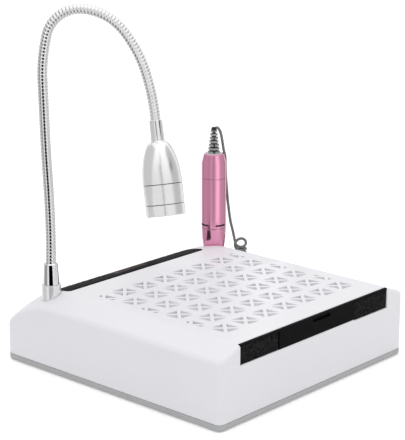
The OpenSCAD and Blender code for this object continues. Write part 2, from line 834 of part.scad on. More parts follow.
// Spindle with the collet bored into its lower end
module handpiece_spindle() {
    color("silver") at_handpiece() difference() {
        union() {
            translate([0, 0, nose_low]) cylinder(h = 84, r = spindle_r, $fn = 48);
            translate([0, 0, nose_low]) cylinder(h = 4, r = 3.6, $fn = 48);
        }
        translate([0, 0, nose_low - 1]) cylinder(h = 25, r = nose_bore_r, $fn = 48);
    }
}

module strain_relief() {
    ribs = 7;
    rib_pitch = (relief_top - cap_top - 2) / ribs;
    color("gray") at_handpiece() {
        turned([[0, cap_top + 0.1], [5, cap_top + 0.1], [2.4, relief_top], [0, relief_top]]);
        for (i = [0:ribs - 1]) translate([0, 0, cap_top + 0.6 + i * rib_pitch])
            cylinder(h = 2.3, r = 6.3 - 3 * i / (ribs - 1), $fn = 48);
    }
}

// ---------- cord ----------
cord_r = 1.5;
coil_at = [149.5, 80];
coil_r = 5.8;
coil_top = 74;
coil_pitch = 3.4;
coil_turns = 12;
cord_bearing = 42;
coil_low = coil_top - coil_turns * coil_pitch;

// Smooth curve from a to d, pulled towards b and c
function bezier(a, b, c, d, t) =
    pow(1 - t, 3) * a + 3 * t * pow(1 - t, 2) * b + 3 * t * t * (1 - t) * c + pow(t, 3) * d;

module cord_along(a, b, c, d, steps) {
    for (i = [0:steps - 1]) hull() {
        translate(bezier(a, b, c, d, i / steps)) sphere(cord_r, $fn = 12);
        translate(bezier(a, b, c, d, (i + 1) / steps)) sphere(cord_r, $fn = 12);
    }
}

// Leaves the strain relief sideways, runs down behind the barrel's side and ends over the coil
module handpiece_cord() {
    side = [sin(cord_bearing), -cos(cord_bearing), 0];
    behind = [cos(cord_bearing), sin(cord_bearing), 0];
    axis = [cup_at[0], cup_at[1], 0];
    up = [0, 0, 1];
    top = axis + (relief_top + cord_r + 0.1) * up;
    over = axis + 11.4 * side + 9.4 * behind + (cap_top - 4) * up;
    bottom = [coil_at[0] - coil_r + 0.8, coil_at[1] + 3, coil_top + 6.2];
    color("gray") {
        cord_along(top, top + 10 * side + 4 * up, over + 24 * up - 4 * side, over, 7);
        cord_along(over, over - 30 * up + 3 * side, bottom + [0, 3, 30], bottom, 7);
    }
}

// Wound part of the cord, swept along a helix
module cord_coil() {
    sides = 7;
    steps = coil_turns * 18;
    points = [for (i = [0:steps], k = [0:sides - 1]) let (
            a = 180 + i * 20,
            b = k * 360 / sides,
            r = coil_r + cord_r * cos(b))
        [coil_at[0] + r * cos(a), coil_at[1] + r * sin(a), coil_top - coil_pitch * i / 18 + cord_r * sin(b)]];
    walls = [for (i = [0:steps - 1], k = [0:sides - 1]) let (n = (k + 1) % sides)
        [i * sides + k, i * sides + n, (i + 1) * sides + n, (i + 1) * sides + k]];
    ends = [[for (k = [sides - 1:-1:0]) k], [for (k = [0:sides - 1]) steps * sides + k]];
    color("gray") polyhedron(points, concat(walls, ends));
}

// Plug in the side socket, with the straight lead that comes from the coil
module cord_plug() {
    start = [coil_at[0], coil_at[1], coil_low - 2 * cord_r - 0.2];
    tip = [half_w + 10, plug_at[0], plug_at[1]];
    color("gray") {
        translate([half_w + 1.5, plug_at[0], plug_at[1]]) rotate([0, 90, 0]) {
            cylinder(h = 9, r = 6, $fn = 48);
            translate([0, 0, -8]) cylinder(h = 9, r = 4, $fn = 32);
        }
        cord_along(tip, tip + [8, 0, -1], start + [0, -8, -10], start, 10);
    }
}

top_casing();
base_plate();
rubber_feet();
base_screws();
suction_deck();
drawer_front();
drawer_grips();
drawer_tray();
filter_pleats();
filter_screen();
runner_left();
runner_right();
blower_housing_left();
blower_housing_right();
impeller_left();
impeller_right();
fan_motors();
console_panel();
display_window();
control_board();
board_screws();
key_switches();
key_fan();
key_lamp();
key_drill();
key_slower();
key_faster();
key_direction();
power_inlet();
cord_socket();
lamp_socket();
lamp_collar();
hose_section_1();
hose_section_2();
hose_section_3();
hose_section_4();
hose_section_5();
hose_section_6();
hose_section_7();
hose_section_8();
hose_section_9();
head_collar();
head_dome();
head_barrel();
head_bezel();
head_lens();
head_reflector();
led_board();
handpiece_cup();
handpiece_barrel();
handpiece_cap();
handpiece_grip();
handpiece_nose();
handpiece_motor();
handpiece_bearings();
handpiece_spindle();
strain_relief();
handpiece_cord();
cord_coil();
cord_plug();
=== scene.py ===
"""Looks of the nail dust collector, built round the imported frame.

Lengths are in millimetres in this script; new_object() turns them into metres.
"""

import json
import math
import random

import bmesh
import bpy
from mathutils import Matrix, Vector
from mathutils.geometry import delaunay_2d_cdt


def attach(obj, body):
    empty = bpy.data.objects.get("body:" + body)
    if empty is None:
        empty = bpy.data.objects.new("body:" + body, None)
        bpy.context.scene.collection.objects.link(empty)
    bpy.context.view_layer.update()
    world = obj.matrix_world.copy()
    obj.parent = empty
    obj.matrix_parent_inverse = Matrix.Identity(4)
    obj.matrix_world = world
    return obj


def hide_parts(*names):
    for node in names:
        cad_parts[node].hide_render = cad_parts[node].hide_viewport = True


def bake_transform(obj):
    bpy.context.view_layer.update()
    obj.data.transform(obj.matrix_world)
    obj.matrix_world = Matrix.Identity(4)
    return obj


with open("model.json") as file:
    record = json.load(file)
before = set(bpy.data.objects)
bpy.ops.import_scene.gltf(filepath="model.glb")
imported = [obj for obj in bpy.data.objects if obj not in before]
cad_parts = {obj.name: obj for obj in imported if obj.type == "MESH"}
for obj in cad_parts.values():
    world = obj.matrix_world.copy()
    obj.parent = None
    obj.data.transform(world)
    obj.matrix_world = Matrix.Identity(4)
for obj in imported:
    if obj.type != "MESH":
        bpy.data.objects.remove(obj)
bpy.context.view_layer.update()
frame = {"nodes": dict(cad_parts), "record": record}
nodes = frame["nodes"]
MM = 0.001

# ---------- driving dimensions ----------
HALF_W = 140.0
HALF_D = 146.0
BODY_H = 77.0
WALL = 2.6
SHOULDER_W = 26.7
SHOULDER_DROP = 10.3
SLOPE_D = 72.0
SLOPE_DROP = 32.0
FLAT_HALF_W = HALF_W - SHOULDER_W
RIDGE_Y = HALF_D - SLOPE_D
SLOPE_R = (SLOPE_D**2 + SLOPE_DROP**2) / (2 * SLOPE_DROP)
FRONT_CORNER_R = 6.0
REAR_CORNER_R = 13.0
EDGE_FILLET = 4.0
CREASE_SOFTNESS = 2.5
CASING_LOW = 6.9
BASE_LOW = 1.0
BASE_HIGH = 6.6

ROSETTE_PITCH = 29.0
ROSETTE_BAR = 3.6
ROSETTE_ROWS = 6
FIRST_ROW_Y = 41 - HALF_D
GRILLE_HALF_W = 99.5
ROSETTE_LONG = 15.4
ROSETTE_SHORT = 12.9
PETAL_CORNER_R = 0.3
PETAL_LIP = 0.35

VENT_COUNT = 10
VENT_FIRST_X = 26.0
VENT_PITCH = 8.0
VENT_W = 4.0
VENT_Z = (14.0, 38.0)
SCREW_X = (-130.0, 130.0)
SCREW_Y = (-132.0, -10.0, 128.0)

DRAWER_HALF_W = 112.0
SLOT_LOW = 57.1
SLOT_BACK = -139.5
ROOF_EDGE = -142.2
ROOF_LIP = 2.8
GRIP_W = 54.0
GRIP_DROP = 1.0
TAB_X = 6.0
TAB_W = 26.0

PANEL_X = (-108.0, 91.0)
PANEL_Y = (82.0, 134.0)
PANEL_OVER = 0.6
PANEL_UNDER = 1.4
PANEL_CORNER_R = 4.0
PANEL_MID = (PANEL_X[0] + PANEL_X[1]) / 2
KEY_Y = 101.0
KEY_R = 5.4
KEY_PROUD = 0.15
KEY_TILT = math.asin((KEY_Y - RIDGE_Y) / SLOPE_R)
DISPLAY_HALF_W = 24.0
DISPLAY_Y = (91.0, 111.0)

LAMP_AT = (-119.2, 96.1)
SOCKET_R = 9.5
SOCKET_TOP = 84.2
COLLAR_TOP = 104.6
HOSE_R = 5.1
HOSE_STEP = 45.6
HOSE_NECK = 9.0  # length of hose below the head; no shape depends on it
HOSE_SUNK = 3.0  # how deep the hose stands in its collar
HOSE_HEADING = 87.8
HOSE_AZIMUTH = -47.8
SECTION_TURNS = (-3, -1.7, 1.4, 0, 15.5, 80, 48, 21, 11.2)
RIB_PITCH = 3.4
RIB_DEPTH = 1.0
HEAD_LEAN = 6.2
HEAD_NOD = 12.0
HEAD_COLLAR = 22.3
HEAD_DOME = 40.2
HEAD_BARREL = 20.0
HEAD_BEZEL = 10.9
HEAD_R = 19.2
HEAD_TOP_R = 9.0
HEAD_LINE = 6.2  # how far below its top a fine line runs round the head's barrel

CUP_AT = (120.5, 94.0)
CUP_R = 15.6
BARREL_R = 13.5
BARREL_LOW = 94.4
CAP_LOW = 150.1
CAP_SHOULDER = 166.2
CAP_TOP = 176.9
GRIP_LOW = 50.0
GRIP_LOW_R = 10.0
SLIT_Z = BARREL_LOW + 3.9
SLIT_COUNT = 4
SLIT_BEARING = 78.0
SLIT_W = 1.9
SLIT_LENGTH = 13.0
RELIEF_TOP = 206.0
RELIEF_RIB_SHARE = 0.6
RELIEF_RIBS = 7
RELIEF_BASE_R = 6.7
RELIEF_TIP_R = 3.6

CORD_R = 1.5
COIL_AT = (149.5, 80.0)
COIL_R = 5.8
COIL_TOP = 74.0
COIL_PITCH = 3.4
COIL_TURNS = 10.5
COIL_STEPS = 28  # points in each turn of the coil
HOOP_TILT = 50.0
PLUG_AT = (58.0, 24.0)
INLET_AT = (-112.0, 24.0)

CAMERA_AT = Vector((-1084.0, -979.5, 542.1))
CAMERA_YAW = math.radians(42.15)
CAMERA_PITCH = math.radians(-15.27)
CAMERA_LENS = 124.3
FLOOR_TONE = 0.85
FLOOR_GLOW = 0.3
SKY_LEVELS = (0.74, 1.26)
SKY_LEAN = (0.02, -0.06, 1.0)


# ---------- mesh helpers ----------
def in_scene(name, data):
    """Object that shows a mesh or a camera in the scene."""
    obj = bpy.data.objects.new(name, data)
    bpy.context.scene.collection.objects.link(obj)
    return obj


def new_object(name, points, faces, material=None):
    """Object from points in millimetres, with its faces turned outwards."""
    mesh = bpy.data.meshes.new(name)
    mesh.from_pydata([[c * MM for c in p] for p in points], [], faces)
    work = bmesh.new()
    work.from_mesh(mesh)
    bmesh.ops.recalc_face_normals(work, faces=work.faces)
    work.to_mesh(mesh)
    work.free()
    if material:
        mesh.materials.append(material)
    return in_scene(name, mesh)


def shade(obj, angle=32, weighted=True):
    """Smooth shading with edges sharper than angle kept crisp."""
    obj.data.shade_smooth()
    obj.data.set_sharp_from_angle(angle=math.radians(angle))
    if weighted:
        weigh_normals(obj)
    return obj


def bake(obj):
    """Turns the object's modifiers into its mesh."""
    bpy.context.view_layer.update()
    graph = bpy.context.evaluated_depsgraph_get()
    mesh = bpy.data.meshes.new_from_object(obj.evaluated_get(graph), depsgraph=graph)
    obj.modifiers.clear()
    obj.data = mesh
    return obj


def cut(obj, cutter):
    """Takes the cutter's volume away from obj."""
    modifier = obj.modifiers.new("cut", "BOOLEAN")
    modifier.operation = "DIFFERENCE"
    modifier.solver = "EXACT"
    modifier.object = cutter
    bake(obj)
    bpy.data.objects.remove(cutter)
    return obj


def cut_block(obj, low, high):
    """Takes the box between two opposite corners away from obj."""
    return cut(obj, block("cutter", low, high))


def bevel(obj, width, angle):
    """Modifier that rounds the edges sharper than angle."""
    modifier = obj.modifiers.new("edges", "BEVEL")
    modifier.width = width * MM
    modifier.segments = 2
    modifier.limit_method = "ANGLE"
    modifier.angle_limit = math.radians(angle)


def soften(obj, width):
    """Rounds the object's sharp edges."""
    bevel(obj, width, 35)
    return bake(obj)


def weigh_normals(obj):
    """Keeps large faces flat beside rounded edges."""
    obj.modifiers.new("normals", "WEIGHTED_NORMAL").keep_sharp = True


def finish_piece(obj, body, slot, *stands_for):
    """Hangs a finished piece on its body."""
    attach(obj, body)
    if stands_for:
        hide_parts(*stands_for)
    return obj


def frustum(name, low, high, material=None):
    """Block between two rectangles, each given as two opposite corners that share one coordinate."""
    points = []
    for a, b in (low, high):
        flat = [i for i in range(3) if a[i] == b[i]][0]
        u, v = [i for i in range(3) if i != flat]
        for pick in ((0, 0), (1, 0), (1, 1), (0, 1)):
            p = [0.0, 0.0, 0.0]
            p[flat] = a[flat]
            p[u] = (a, b)[pick[0]][u]
            p[v] = (a, b)[pick[1]][v]
            points.append(p)
    sides = [(i, (i + 1) % 4, 4 + (i + 1) % 4, 4 + i) for i in range(4)]
    return new_object(name, points, [(0, 1, 2, 3), (4, 5, 6, 7)] + sides, material)


def block(name, low, high, material=None):
    """Box between two opposite corners."""
    return frustum(
        name,
        (low, (high[0], high[1], low[2])),
        ((low[0], low[1], high[2]), high),
        material,
    )


def prism(name, outline, low, high, place=Matrix.Identity(4), material=None):
    """Flat outline in x and y, drawn out from height low to height high, then placed."""
    count = len(outline)
    points = [place @ Vector((x, y, z)) for z in (low, high) for x, y in outline]
    sides = [(i, (i + 1) % count, count + (i + 1) % count, count + i) for i in range(count)]
    caps = [tuple(range(count)), tuple(range(count, 2 * count))]
    return new_object(name, points, caps + sides, material)


def join(name, parts):
    """One object from several meshes that don't touch."""
    work = bmesh.new()
    for part in parts:
        work.from_mesh(part.data)
    mesh = parts[0].data.copy()
    work.to_mesh(mesh)
    work.free()
    for part in parts:
        bpy.data.objects.remove(part)
    return in_scene(name, mesh)


def circle(cx, cy, r, count=48):
    """Points of a circle, anticlockwise."""
    turns = [2 * math.pi * i / count for i in range(count)]
    return [(cx + r * math.cos(a), cy + r * math.sin(a)) for a in turns]


def grown(polygon, r, step=25):
    """Anticlockwise polygon grown by r: round where it bulges out, and mitred where it bends in."""
    points = []
    count = len(polygon)
    for i in range(count):
        before, here, after = polygon[i - 1], polygon[i], polygon[(i + 1) % count]
        first = math.atan2(-(here[0] - before[0]), here[1] - before[1])
        last = math.atan2(-(after[0] - here[0]), after[1] - here[1])
        turn = (last - first) % (2 * math.pi)
        if turn > math.pi:
            half = turn / 2 - math.pi
            mitre = r / math.cos(half)
            across = (math.cos(first + half), math.sin(first + half))
            points.append((here[0] + mitre * across[0], here[1] + mitre * across[1]))
            continue
        steps = max(1, math.ceil(math.degrees(turn) / step - 0.01))
        for k in range(steps + 1):
            a = first + turn * k / steps
            points.append((here[0] + r * math.cos(a), here[1] + r * math.sin(a)))
    return points


def rounded_rectangle(x, y, r):
    """Rectangle with round corners between the x pair and the y pair."""
    core = [(x[0] + r, y[0] + r), (x[1] - r, y[0] + r), (x[1] - r, y[1] - r), (x[0] + r, y[1] - r)]
    return grown(core, r, 10)


def encloses(polygon, place):
    """Whether a place lies inside a polygon."""
    inside = False
    for a, b in zip(polygon, polygon[1:] + polygon[:1]):
        if (a.y > place.y) != (b.y > place.y):
            if place.x < a.x + (b.x - a.x) * (place.y - a.y) / (b.y - a.y):
                inside = not inside
    return inside


def sheet(name, border, holes, spots, material):
    """Closed shell between two faces.

    border is a list of rings that runs from the first face's edge round the outside to the second face's
    edge. Each hole is a list of rings from the first face to the second. spots are pairs of points inside
    the two faces. The first face is triangulated and the second face repeats its triangles.
    """
    points = []
    faces = []
    first = []
    second = []
    loops = []

    def add_rings(rings):
        starts = []
        for ring in rings:
            starts.append(len(points))
            points.extend(ring)
        count = len(rings[0])
        for a, b in zip(starts, starts[1:]):
            for i in range(count):
                n = (i + 1) % count
                faces.append((a + i, a + n, b + n, b + i))
        loop = list(range(len(first), len(first) + count))
        loops.append(loop)
        first.extend(range(starts[0], starts[0] + count))
        second.extend(range(starts[-1], starts[-1] + count))

    add_rings(border)
    for hole in holes:
        add_rings(hole)
    for a, b in spots:
        first.append(len(points))
        second.append(len(points) + 1)
        points.extend((a, b))
    plan = [Vector((points[i][0], points[i][1])) for i in first]
    edges = [(loop[i], loop[(i + 1) % len(loop)]) for loop in loops for i in range(len(loop))]
    hole_of = {}
    for loop in loops[1:]:
        hole_of.update({i: loop for i in loop})
    made = delaunay_2d_cdt(plan, edges, [], 1, 1e-5)
    source = [ids[0] if ids else None for ids in made[3]]
    for triangle in made[2]:
        own = [source[i] for i in triangle]
        if None in own:
            continue
        loop = hole_of.get(own[0])
        if loop and all(hole_of.get(i) is loop for i in own):
            middle = sum((plan[i] for i in own), Vector((0, 0))) / 3
            if encloses([plan[i] for i in loop], middle):
                continue
        faces.append(tuple(first[i] for i in own))
        faces.append(tuple(second[i] for i in reversed(own)))
    return new_object(name, points, faces, material)


def rounded_profile(corners, steps=5):
    """Polyline of (r, z, fillet) corners with each fillet drawn as an arc."""
    profile = []
    for i, (r, z, fillet) in enumerate(corners):
        if fillet == 0 or i in (0, len(corners) - 1):
            profile.append((r, z))
            continue
        here = Vector((r, z))
        back = Vector(corners[i - 1][:2]) - here
        ahead = Vector(corners[i + 1][:2]) - here
        half = back.angle(ahead) / 2
        reach = min(fillet / math.tan(half), 0.48 * back.length, 0.48 * ahead.length)
        start = here + back.normalized() * reach
        end = here + ahead.normalized() * reach
        centre = here + (back.normalized() + ahead.normalized()).normalized() * (reach / math.cos(half))
        from_start = start - centre
        turn = from_start.angle_signed(end - centre)
        for k in range(steps + 1):
            a = -turn * k / steps
            arm = Vector((
                from_start.x * math.cos(a) - from_start.y * math.sin(a),
                from_start.x * math.sin(a) + from_start.y * math.cos(a),
            ))
            profile.append(tuple(centre + arm))
    return profile


def lathe(name, profile, material, place=Matrix.Identity(4), sides=72, skin=None):
    """Profile of (r, z) turned round local Z, then placed. skin, if given, maps (x, y, z) to a height."""
    points = []
    rings = []
    for r, z in profile:
        if r < 1e-6:
            rings.append([len(points)])
            points.append(Vector((0, 0, skin(0, 0, z) if skin else z)))
            continue
        rings.append(list(range(len(points), len(points) + sides)))
        for x, y in circle(0, 0, r, sides):
            points.append(Vector((x, y, skin(x, y, z) if skin else z)))
    faces = []
    for low, high in zip(rings, rings[1:]):
        for i in range(sides):
            n = (i + 1) % sides
            if len(low) == 1 and len(high) == 1:
                continue
            if len(low) == 1:
                faces.append((low[0], high[i], high[n]))
            elif len(high) == 1:
                faces.append((low[i], low[n], high[0]))
            else:
                faces.append((low[i], low[n], high[n], high[i]))
    obj = new_object(name, [place @ p for p in points], faces, material)
    return shade(obj)


def turned(name, profile, place, body, slot, *stands_for, sides=72, skin=None):
    """Lathed piece in the finish of its slot, hung on its body."""
    obj = lathe(name, profile, FINISH[slot], place, sides, skin)
    return finish_piece(obj, body, slot, *stands_for)


def sweep(name, path, radii, material, sides=16, round_ends=True):
    """Tube along a path, with a radius at each point of it. The frame is carried along without twist."""
    points = []
    count = len(path)
    side = None
    for i in range(count):
        along = (path[min(i + 1, count - 1)] - path[max(i - 1, 0)]).normalized()
        if side is None:
            side = along.orthogonal().normalized()
        side = (side - along * side.dot(along)).normalized()
        up = along.cross(side)
        for k in range(sides):
            a = 2 * math.pi * k / sides
            points.append(path[i] + radii[i] * (side * math.cos(a) + up * math.sin(a)))
    faces = []
    for i in range(count - 1):
        for k in range(sides):
            n = (k + 1) % sides
            low, high = i * sides, (i + 1) * sides
            faces.append((low + k, low + n, high + n, high + k))
    if round_ends:
        for ring, out in ((0, path[0] - path[1]), (count - 1, path[-1] - path[-2])):
            tip = len(points)
            points.append(path[ring] + out.normalized() * radii[ring] * 0.4)
            base = ring * sides
            faces.extend((base + k, base + (k + 1) % sides, tip) for k in range(sides))
    return new_object(name, points, faces, material)


# ---------- materials ----------
def add_node(tree, kind, **values):
    """Shader node with some of its inputs set; an underscore in a name stands for a space."""
    node = tree.nodes.new("ShaderNode" + kind)
    for name, value in values.items():
        node.inputs[name.replace("_", " ")].default_value = value
    return node


def socket_value(shader, name, value):
    """Sets an input of a shader node if this version of Blender has it."""
    if name in shader.inputs:
        shader.inputs[name].default_value = value


def make_material(
    name, colour, rough, metal=0.0, tone=0.04, spread=0.06, patch=30.0, grain=900.0, bump=0.05,
    stretch=(1, 1, 1), coat=0.0, specular=0.5, glow=0.0,
):
    """Procedural finish: tone drifts in patches, roughness wanders, and a fine grain lifts the surface."""
    material = bpy.data.materials.new(name)
    material.use_nodes = True
    tree = material.node_tree
    shader = tree.nodes["Principled BSDF"]
    link = tree.links.new
    place = add_node(tree, "TexCoord")
    mapping = add_node(tree, "Mapping", Scale=stretch)
    link(place.outputs["Object"], mapping.inputs["Vector"])

    patches = add_node(tree, "TexNoise", Scale=patch, Detail=4)
    link(place.outputs["Object"], patches.inputs["Vector"])
    shift = add_node(tree, "MapRange", To_Min=1 - tone, To_Max=1 + tone)
    link(patches.outputs["Fac"], shift.inputs["Value"])
    tint = add_node(tree, "VectorMath")
    tint.operation = "SCALE"
    tint.inputs[0].default_value = colour
    link(shift.outputs["Result"], tint.inputs["Scale"])
    link(tint.outputs["Vector"], shader.inputs["Base Color"])

    smudge = add_node(tree, "TexNoise", Scale=patch * 3, Detail=6)
    link(mapping.outputs["Vector"], smudge.inputs["Vector"])
    wander = add_node(
        tree, "MapRange", To_Min=max(0.02, rough - spread), To_Max=min(1.0, rough + spread))
    link(smudge.outputs["Fac"], wander.inputs["Value"])
    link(wander.outputs["Result"], shader.inputs["Roughness"])

    fine = add_node(tree, "TexNoise", Scale=grain, Detail=3)
    link(mapping.outputs["Vector"], fine.inputs["Vector"])
    lift = add_node(tree, "Bump", Strength=bump, Distance=0.0002)
    link(fine.outputs["Fac"], lift.inputs["Height"])
    link(lift.outputs["Normal"], shader.inputs["Normal"])

    shader.inputs["Metallic"].default_value = metal
    socket_value(shader, "Specular IOR Level", specular)
    socket_value(shader, "Coat Weight", coat)
    socket_value(shader, "Coat Roughness", 0.08)
    shader.inputs["Emission Color"].default_value = (*colour, 1.0)
    socket_value(shader, "Emission Strength", glow)
    return material


def make_lens():
    """Frosted clear plastic."""
    material = make_material("lens_clear", (0.95, 0.96, 0.98), 0.25, spread=0.08, bump=0.1)
    shader = material.node_tree.nodes["Principled BSDF"]
    socket_value(shader, "Transmission Weight", 0.85)
    socket_value(shader, "IOR", 1.45)
    return material


LOOKS = {
    "white_shell": dict(
        colour=(0.80, 0.793, 0.825), rough=0.42, tone=0.012, spread=0.07, patch=14, grain=1600, bump=0.06),
    "grey_base": dict(colour=(0.44, 0.445, 0.45), rough=0.55, tone=0.03, patch=22, grain=1500, bump=0.15),
    "rubber": dict(colour=(0.03,) * 3, rough=0.85, bump=0.3),
    "zinc_screw": dict(colour=(0.6, 0.6, 0.62), rough=0.35, metal=1.0, grain=1200, bump=0.1),
    "inner_plastic": dict(colour=(0.62, 0.63, 0.64), rough=0.6, bump=0.15),
    "black_plastic": dict(
        colour=(0.004, 0.004, 0.0045), rough=0.6, tone=0.12, spread=0.1, grain=1500, bump=0.2, specular=0.05),
    "grip_texture": dict(
        colour=(0.010,) * 3, rough=0.6, tone=3.0, spread=0.15, patch=450, grain=700, bump=0.8, specular=0.06),
    # The filter paper and the screen under the grille glow a little: painted light that brightens the shaded
    # insides of the grille's petals.
    "filter_paper": dict(colour=(0.9, 0.9, 0.89), rough=0.9, grain=1800, bump=0.5, glow=0.14),
    "white_screen": dict(colour=(0.90,) * 3, rough=0.5, bump=0.15, glow=0.14),
    # Near black rather than grey metal: painted shade for the can seen deep inside the vent slits.
    "motor_can": dict(colour=(0.03, 0.03, 0.032), rough=0.5, metal=0.2, bump=0.1),
    "console_gloss": dict(
        colour=(0.008, 0.008, 0.009), rough=0.5, tone=0.05, grain=500, bump=0.02, specular=0.02),
    "display_red": dict(colour=(0.02, 0.002, 0.002), rough=0.4, spread=0.03, bump=0.01, specular=0.05),
    "key_grey": dict(colour=(0.010, 0.010, 0.011), rough=0.45, bump=0.15, specular=0.03),
    "board_green": dict(colour=(0.02, 0.16, 0.06), rough=0.3, tone=0.15, patch=300),
    "switch_metal": dict(colour=(0.6,) * 3, rough=0.35, metal=1.0),
    "socket_white": dict(
        colour=(0.84, 0.84, 0.85), rough=0.16, metal=0.4, tone=0.02, spread=0.05, grain=1400, bump=0.04),
    "chrome": dict(colour=(0.86, 0.86, 0.87), rough=0.08, metal=1.0, tone=0.02, spread=0.03, bump=0.01),
    "hose_steel": dict(colour=(0.82, 0.82, 0.83), rough=0.14, metal=1.0, tone=0.06, patch=120),
    "lamp_aluminium": dict(
        colour=(0.88, 0.88, 0.89), rough=0.24, metal=1.0, tone=0.02, grain=60, bump=0.25, stretch=(1, 1, 60)),
    "reflector": dict(colour=(0.9,) * 3, rough=0.12, metal=1.0),
    "led_ceramic": dict(colour=(0.85, 0.83, 0.7), rough=0.5),
    "pink_anodised": dict(
        colour=(0.84, 0.365, 0.54), rough=0.18, metal=1.0, tone=0.03, spread=0.05, grain=40, bump=0.08,
        stretch=(1, 1, 40)),
    "nose_steel": dict(colour=(0.7, 0.7, 0.72), rough=0.25, metal=1.0, stretch=(1, 1, 30)),
    "cord_grey": dict(colour=(0.17, 0.18, 0.175), rough=0.6, tone=0.06, bump=0.25),
    "relief_grey": dict(colour=(0.30, 0.31, 0.305), rough=0.6, tone=0.06, bump=0.25),
    # Near-black core of the strain relief: painted shade for the deep gaps between its ribs.
    "relief_core_painted_shade": dict(colour=(0.02,) * 3, rough=0.8, tone=0.06, bump=0.25),
}
FINISH = {name: make_material(name, **look) for name, look in LOOKS.items()}
FINISH["lens_clear"] = make_lens()
DIGITS = make_material("display_digits", (0.045, 0.006, 0.005), 0.4, specular=0.2)
MARKS = make_material("key_marks", (0.16, 0.16, 0.17), 0.5)


# ---------- housing ----------
def skin(x, y):
    """Height of the outer skin: flat top, sloped shoulders with a soft crease, curved slope behind."""
    past = abs(x) - FLAT_HALF_W
    eased = (past + math.hypot(past, CREASE_SOFTNESS)) / 2
    back = max(0.0, y - RIDGE_Y)
    shoulder = eased * SHOULDER_DROP / SHOULDER_W
    return BODY_H - shoulder - (SLOPE_R - math.sqrt(SLOPE_R**2 - back**2))


def crease_lines():
    """Places where the crease between the flat top and a shoulder needs points."""
    return [side * (FLAT_HALF_W + d) for side in (-1, 1) for d in (-4, -2, -0.7, 0.7, 2, 4)]


def slope_lines():
    """Places where the curved slope needs points."""
    return [RIDGE_Y + i * 5 for i in range(11)]


def footprint(inset):
    """Footprint of the housing pulled in by inset, anticlockwise, always with the same number of points."""
    across = sorted(crease_lines() + [x * 20 for x in range(-5, 6)])
    along = sorted(slope_lines() + [y * 20 for y in range(-6, 4)])
    corners = (
        (1, 1, REAR_CORNER_R, 0), (-1, 1, REAR_CORNER_R, 90),
        (-1, -1, FRONT_CORNER_R, 180), (1, -1, FRONT_CORNER_R, 270),
    )
    sides = (
        [(x, HALF_D - inset) for x in reversed(across)],
        [(inset - HALF_W, y) for y in reversed(along)],
        [(x, inset - HALF_D) for x in across],
        [(HALF_W - inset, y) for y in along],
    )
    points = []
    for (sx, sy, r, start), side in zip(corners, sides):
        for k in range(11):
            a = math.radians(start + 9 * k)
            points.append((
                sx * (HALF_W - r) + (r - inset) * math.cos(a),
                sy * (HALF_D - r) + (r - inset) * math.sin(a),
            ))
        points.extend(side)
    return points


def petal(cx, cy, signs, clip):
    """Core of one petal of a rosette: the petal pulled in by its corner radius, cut off at |x| = clip.

    A rosette is a lozenge parted by bars along both of its diagonals, and signs tell which quarter it is.
    """
    bar = ROSETTE_BAR / 2 + PETAL_CORNER_R
    reach = 1 - PETAL_CORNER_R * math.hypot(1 / ROSETTE_LONG, 1 / ROSETTE_SHORT)
    corners = [
        (bar, bar),
        (ROSETTE_LONG * (reach - bar / ROSETTE_SHORT), bar),
        (bar, ROSETTE_SHORT * (reach - bar / ROSETTE_LONG)),
    ]
    if signs[0] != signs[1]:
        corners.reverse()
    c = math.sqrt(0.5)
    local = [(signs[0] * u, signs[1] * v) for u, v in corners]
    core = [(cx + c * (u + v), cy + c * (v - u)) for u, v in local]
    limit = clip - PETAL_CORNER_R
    for side in (-1, 1):
        kept = []
        for i, here in enumerate(core):
            before = core[i - 1]
            if (side * here[0] <= limit) != (side * before[0] <= limit):
                t = (side * limit - before[0]) / (here[0] - before[0])
                kept.append((side * limit, before[1] + t * (here[1] - before[1])))
            if side * here[0] <= limit:
                kept.append(here)
        core = kept
        if len(core) < 3:
            return None
    area = sum(a[0] * b[1] - b[0] * a[1] for a, b in zip(core, core[1:] + core[:1])) / 2
    return core if area > 1 else None


def grille_petals():
    """Cores of all petals: rows of whole rosettes, with every second row shifted by half a pitch."""
    petals = []
    for row in range(ROSETTE_ROWS):
        shift = 0.5 * (row % 2)
        for i in range(-3 - row % 2, 4):
            centre = ((i + shift) * ROSETTE_PITCH, FIRST_ROW_Y + row * ROSETTE_PITCH)
            for signs in ((1, 1), (-1, 1), (-1, -1), (1, -1)):
                core = petal(*centre, signs, GRILLE_HALF_W)
                if core:
                    petals.append(core)
    return petals


def on_skin(outline, drop):
    """Outline laid on the skin, drop below it."""
    return [(x, y, skin(x, y) - drop) for x, y in outline]


